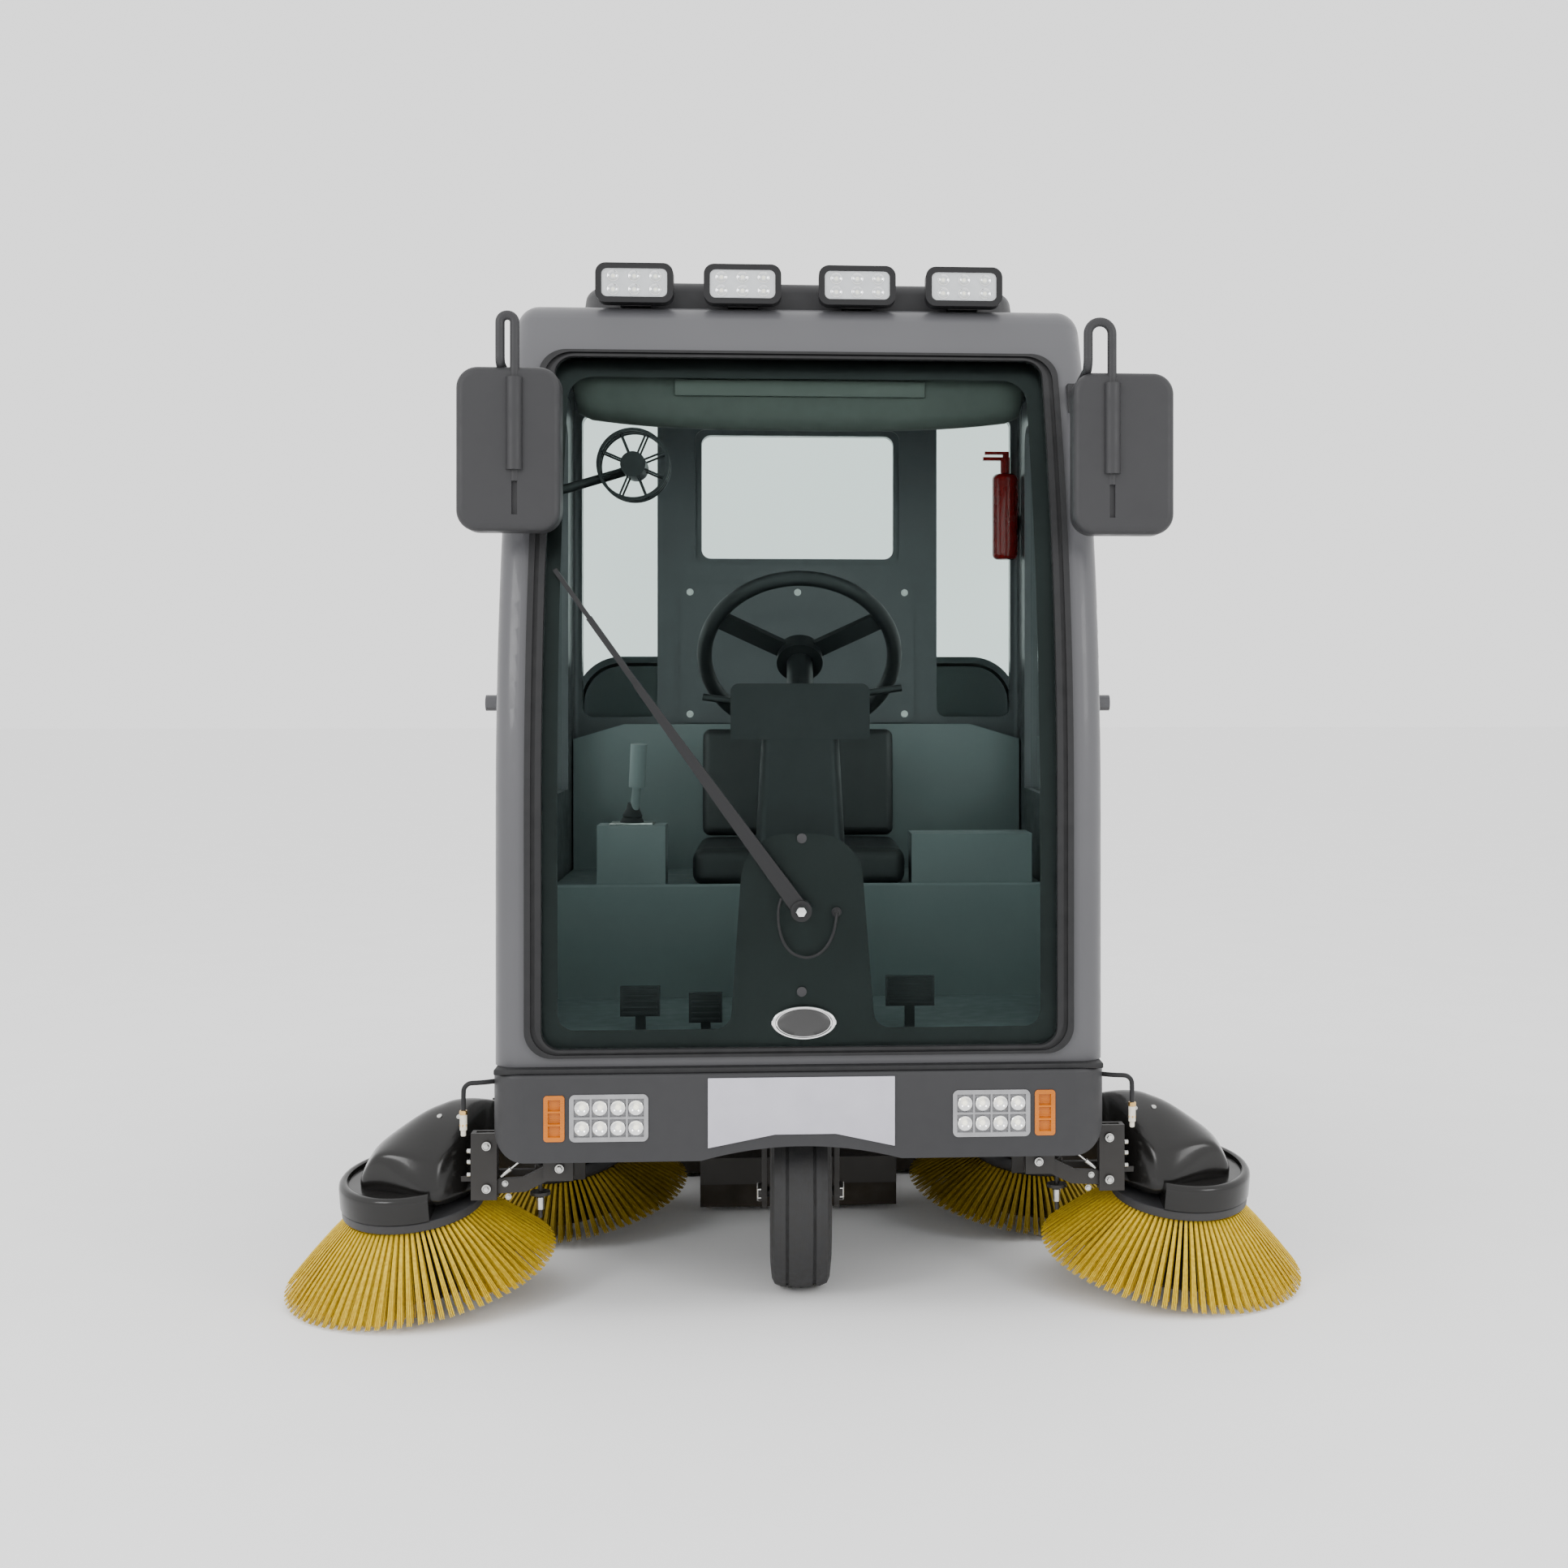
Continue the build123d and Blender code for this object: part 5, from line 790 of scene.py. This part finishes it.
def add_spray_pipe(name, side):
    """Bent pipe from the bumper's side to a nozzle over the brush."""
    pipe_x, pipe_y, pipe_z, end_z, bend_radius = side * 0.605, -1.078, 0.422, 0.367, 0.016
    bend = []
    for step in range(7):
        angle = pi * step / 12
        bend.append((pipe_x - side * bend_radius * (1 - sin(angle)), pipe_y,
                     pipe_z - bend_radius * (1 - cos(angle))))
    route = [(side * 0.545, pipe_y + 0.020, pipe_z), (side * 0.565, pipe_y + 0.004, pipe_z), *bend,
             (pipe_x, pipe_y, end_z)]
    pipe = tube(f"spray_pipe_{name}", route, 0.0043, RUBBER, "chassis")
    if side < 0:
        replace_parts(pipe, "spray_pipes")

    def spindle(shape, high, low, radius, sides):
        shape.rod((pipe_x, pipe_y, high), (pipe_x, pipe_y, low), radius, sides=sides, edge=0.001)

    nozzle = Shape()
    spindle(nozzle, end_z, 0.337, 0.0065, 20)
    spindle(nozzle, 0.337, 0.327, 0.0045, 20)
    nozzle.done(f"nozzle_{name}", NOZZLE, "chassis")
    collar = Shape()
    spindle(collar, 0.373, 0.365, 0.0072, 20)
    spindle(collar, 0.349, 0.344, 0.0072, 6)
    collar.done(f"nozzle_collar_{name}", BRASS, "chassis")


# Hump of a front cover in the cover's own frame, in mm: stations from the outer end to the body side,
# each a row of (distance back, height) from the foot in front, over the top, to the foot behind
HUMP = {
    88: ((-40, 30), (-42, 56), (-41, 62), (-37, 67), (-32, 70), (-8, 72),
         (12, 72), (42, 68), (50, 30)),
    76: ((-48, 28), (-49, 62), (-47, 76), (-42, 86), (-36, 91), (-10, 94),
         (14, 94), (48, 87), (58, 28)),
    62: ((-55, 26), (-54, 70), (-51, 92), (-47, 108), (-41, 114), (-12, 115),
         (16, 114), (54, 102), (66, 26)),
    46: ((-62, 24), (-60, 76), (-56, 104), (-51, 121), (-44, 127), (-14, 129),
         (20, 127), (62, 116), (74, 24)),
    10: ((-82, 22), (-77, 78), (-69, 104), (-60, 122), (-52, 129), (-12, 142),
         (36, 149), (76, 134), (88, 22)),
    -30: ((-105, 20), (-94, 75), (-80, 100), (-68, 116), (-59, 123), (-8, 148),
          (54, 170), (92, 154), (104, 20)),
    -58: ((-104, 20), (-97, 58), (-85, 88), (-75, 106), (-66, 113), (-6, 150),
          (64, 174), (102, 160), (112, 20)),
    -70: ((-96, 14), (-89, 58), (-78, 90), (-66, 110), (-54, 122), (0, 153),
          (72, 176), (106, 166), (116, 14)),
    -102: ((-50, 14), (-46, 55), (-38, 92), (-29, 128), (-18, 142), (14, 158),
           (84, 174), (112, 166), (122, 14)),
    -132: ((-8, 14), (-4, 55), (0, 90), (5, 120), (14, 131), (36, 150),
           (92, 166), (116, 158), (126, 14)),
    -138: ((-4, 96), (0, 104), (4, 111), (9, 119), (17, 129), (40, 148),
           (96, 163), (118, 154), (126, 96)),
    -160: ((0, 102), (3, 108), (7, 113), (12, 119), (20, 127), (42, 142),
           (98, 156), (118, 148), (124, 102)),
}
COVER_PLACE = Vector((0.7175, -0.943, 0.1695))
COVER_TILT = Vector((sin(radians(3.2)), -sin(radians(9.0))))
PAN_CHORD = -0.050


def leaning_frame(side, place, tilt):
    """Matrix of a leaning part: origin at a place given for the right side, local z up its axis."""
    lean = Vector((side * tilt.x, tilt.y))
    up = Vector((lean.x, lean.y, sqrt(1 - lean.length_squared)))
    across = Vector((1, 0, -lean.x / up.z)).normalized()
    along = up.cross(across)
    turn = Matrix((across, along, up)).transposed().to_4x4()
    return Matrix.Translation((side * place[0], place[1], place[2])) @ turn


def add_cover(name, side):
    """Glossy cover of a front brush: rubber flange, round pan, hump over the motor and arch to the body."""
    matrix = leaning_frame(side, COVER_PLACE, COVER_TILT)
    flange = Shape()
    flange.lathe([(0.020, 0.014), (0.1235, 0.014), (0.1245, 0.001), (0.1265, 0), (0.129, 0.002),
                  (0.129, 0.0155), (0.1275, 0.017)], (0, 0, 0), (0, 0, 1), 96)
    bmesh.ops.transform(flange.mesh, matrix=matrix, verts=flange.mesh.verts)
    flange.done(f"front_cover_flange_{name}", RING_RUBBER, f"front_head_{name}", 40)
    pan = Shape()
    pan.lathe([(0.020, 0.0172), (0.129, 0.0172), (0.131, 0.019), (0.1305, 0.054), (0.1295, 0.060),
               (0.1255, 0.065), (0.1195, 0.0665), (0.115, 0.0645), (0.112, 0.058), (0.020, 0.056)],
              (0, 0, 0), (0, 0, 1), 96)
    bmesh.ops.bisect_plane(pan.mesh, geom=pan.mesh.verts[:] + pan.mesh.edges[:] + pan.mesh.faces[:],
                           plane_co=(side * PAN_CHORD, 0, 0), plane_no=(-side, 0, 0), clear_outer=True)
    bmesh.ops.holes_fill(pan.mesh, edges=[edge for edge in pan.mesh.edges if edge.is_boundary])
    bmesh.ops.transform(pan.mesh, matrix=matrix, verts=pan.mesh.verts)
    pan.done(f"front_cover_pan_{name}", GLOSS, f"front_head_{name}", 40)
    hump = Shape()
    rows = [[hump.mesh.verts.new(matrix @ (Vector((side * x, y, z)) / 1000)) for y, z in row]
            for x, row in HUMP.items()]
    for first, second in zip(rows, rows[1:]):
        for index in range(len(first)):
            after = (index + 1) % len(first)
            hump.mesh.faces.new((first[index], first[after], second[after], second[index]))
    hump.mesh.faces.new(rows[0])
    hump.mesh.faces.new(list(reversed(rows[-1])))
    piece = hump.done(f"front_cover_hump_{name}", GLOSS, f"front_head_{name}", 60)
    smooth = piece.modifiers.new("smooth", "SUBSURF")
    smooth.levels = smooth.render_levels = 2
    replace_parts(piece, f"front_cover_{name}")
    screws = Shape()
    up = matrix.to_3x3() @ Vector((0.05 * side, -0.45, 1))
    for x, y, z in ((-0.056, 0.026, 0.1585), (-0.094, 0.022, 0.1575)):
        screws.screw(matrix @ Vector((side * x, y, z)), up, 0.0048, 0.003, 24)
    screws.done(f"cover_screws_{name}", ZINC, f"front_head_{name}")


# ------------------------------------------------------------------ brushes
# Rows of tufts: root radius, tip radius, turn in pitches
FRONT_TUFTS = ((0.117, 0.247, 0.0), (0.108, 0.232, 0.1), (0.099, 0.214, 0.2))
REAR_TUFTS = ((0.128, 0.247, 0.0), (0.116, 0.232, 0.1), (0.103, 0.214, 0.2))
TUFTS_PER_ROW = 84
STRANDS_PER_TUFT = 9
STRAND_SIDES = 4
STRAND_RADIUS = 0.0012


def strand(points, faces, path, radius):
    """Thin tapered bristle along a path of points."""
    first = len(points)
    for index, spot in enumerate(path):
        width = radius * (1 - 0.25 * index / (len(path) - 1))
        for side in range(STRAND_SIDES):
            angle = 2 * pi * side / STRAND_SIDES
            points.append(spot + Vector((cos(angle), sin(angle), 0)) * width)
    for index in range(len(path) - 1):
        base = first + index * STRAND_SIDES
        for side in range(STRAND_SIDES):
            after = (side + 1) % STRAND_SIDES
            above = base + STRAND_SIDES
            faces.append((base + side, base + after, above + after, above + side))
    faces.append(tuple(first + (len(path) - 1) * STRAND_SIDES + side for side in range(STRAND_SIDES)))


def add_brush(node, side, place, rows, ring_radius, ring_low, ring_high, material):
    """Dense bristles in tufts round a black ring, in place of the CAD brush."""
    matrix = leaning_frame(side, (*place, TIP_CLEARANCE + BRUSH_RADIUS * BRUSH_TILT.length), BRUSH_TILT)
    top = ring_high if ring_radius < rows[0][0] else ring_low + 0.002
    points, faces = [], []
    for root_radius, tip_radius, turn in rows:
        for tuft in range(TUFTS_PER_ROW):
            angle = 2 * pi * (tuft + turn) / TUFTS_PER_ROW
            sway = random.gauss(0, 0.004)
            for index in range(STRANDS_PER_TUFT):
                spread = index % 3 - 1
                layer = index // 3 - 1
                root_angle = angle + spread * 0.0013 / root_radius
                tip_angle = angle + sway + spread * 0.0034 / tip_radius
                root = root_radius + layer * 0.0020
                reach = tip_radius + layer * 0.004 + random.uniform(-0.0012, 0.0012)
                tip = min(reach, BRUSH_RADIUS - 0.0015)
                low = random.uniform(0.0, 0.0015)
                path = []
                for fraction in (0.0, 0.35, 0.7, 1.0):
                    bend = 0.0035 * sin(pi * fraction)
                    radius = root + (tip - root) * fraction
                    turned = root_angle + (tip_angle - root_angle) * fraction
                    height = top + (low - top) * fraction + bend
                    path.append(Vector((radius * cos(turned), radius * sin(turned), height)))
                strand(points, faces, path, STRAND_RADIUS)
    data = bpy.data.meshes.new(node + "_bristles")
    data.from_pydata([matrix @ point for point in points], [], faces)
    bristles = as_piece(data, node + "_bristles", material, node, 80)
    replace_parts(bristles, node)
    core = Shape()
    core.lathe([(0.070, 0.004), (0.170, 0.004), (0.172, 0.010), (0.088, ring_low)], (0, 0, 0), sides=48)
    bmesh.ops.transform(core.mesh, matrix=matrix, verts=core.mesh.verts)
    core.done(node + "_core", SKIRT, node, 40)
    ring = Shape()
    ring.lathe([(0.040, ring_low), (ring_radius - 0.008, ring_low), (ring_radius - 0.002, ring_low + 0.004),
                (ring_radius, ring_low + 0.010), (ring_radius, ring_high - 0.004),
                (ring_radius - 0.003, ring_high), (0.040, ring_high)], (0, 0, 0), sides=64)
    bmesh.ops.transform(ring.mesh, matrix=matrix, verts=ring.mesh.verts)
    ring.done(node + "_ring", RING_RUBBER, node, 40)


# ------------------------------------------------------------------ rear
def add_rear_details():
    """Reflectors, hinge bolts and the latch's lock on the tail."""
    reflectors = Shape()
    for side in (-1, 1):
        reflectors.lathe([(0.030, 0), (0.030, 0.004), (0.026, 0.007)], (side * 0.480, BODY_REAR_Y, 0.510),
                         (0, 1, 0))
    reflectors.done("tail_reflectors", RED_LENS, "chassis")
    bolts = Shape()
    for z in (0.560, 0.820):
        for shift in (-0.012, 0.012):
            bolts.screw((-0.396, BODY_REAR_Y + 0.010, z + shift), (0, 1, 0), 0.005, 0.004)
    bolts.done("tail_hinge_bolts", ZINC, "rear_door")
    lock_x, lock_y, lock_z = 0.384, BODY_REAR_Y + 0.025, 0.690
    lock = Shape().rod((lock_x, lock_y, lock_z), (lock_x, lock_y + 0.004, lock_z), 0.007, edge=0.001)
    lock.done("tail_lock", ZINC, "rear_door")


floor_mesh = bpy.data.meshes.new("floor")
floor_mesh.from_pydata([(-60, -60, 0), (60, -60, 0), (60, 60, 0), (-60, 60, 0)], [], [(0, 1, 2, 3)])
floor = bpy.data.objects.new("floor", floor_mesh)
floor_mesh.materials.append(finish("floor_paint", (0.94, 0.94, 0.94), 0.9, mottle=0.01))
bpy.context.scene.collection.objects.link(floor)

add_camera()
add_studio()
finish_nodes()
add_screen_print()
add_screen_fittings()
add_wiper_nut()
add_roof_liner()
add_wall_details()
add_horn_button()
add_lever_details()
add_pedal_ribs()
add_seat()
add_lamps()
add_number_panel()
for name, side in SIDES.items():
    add_linkage_details(name, side)
    add_head_details(name, side)
    add_axle_nut(name, side)
    add_spray_pipe(name, side)
    add_cover(name, side)
    add_brush(f"front_brush_{name}", side, FRONT_BRUSH, FRONT_TUFTS, 0.106, 0.094, 0.118, BRISTLES)
    # Rear brushes take the darkened bristles: painted shade
    add_brush(f"rear_brush_{name}", side, REAR_BRUSH, REAR_TUFTS, 0.133, 0.076, 0.106, SHADED_BRISTLES)
add_rear_details()
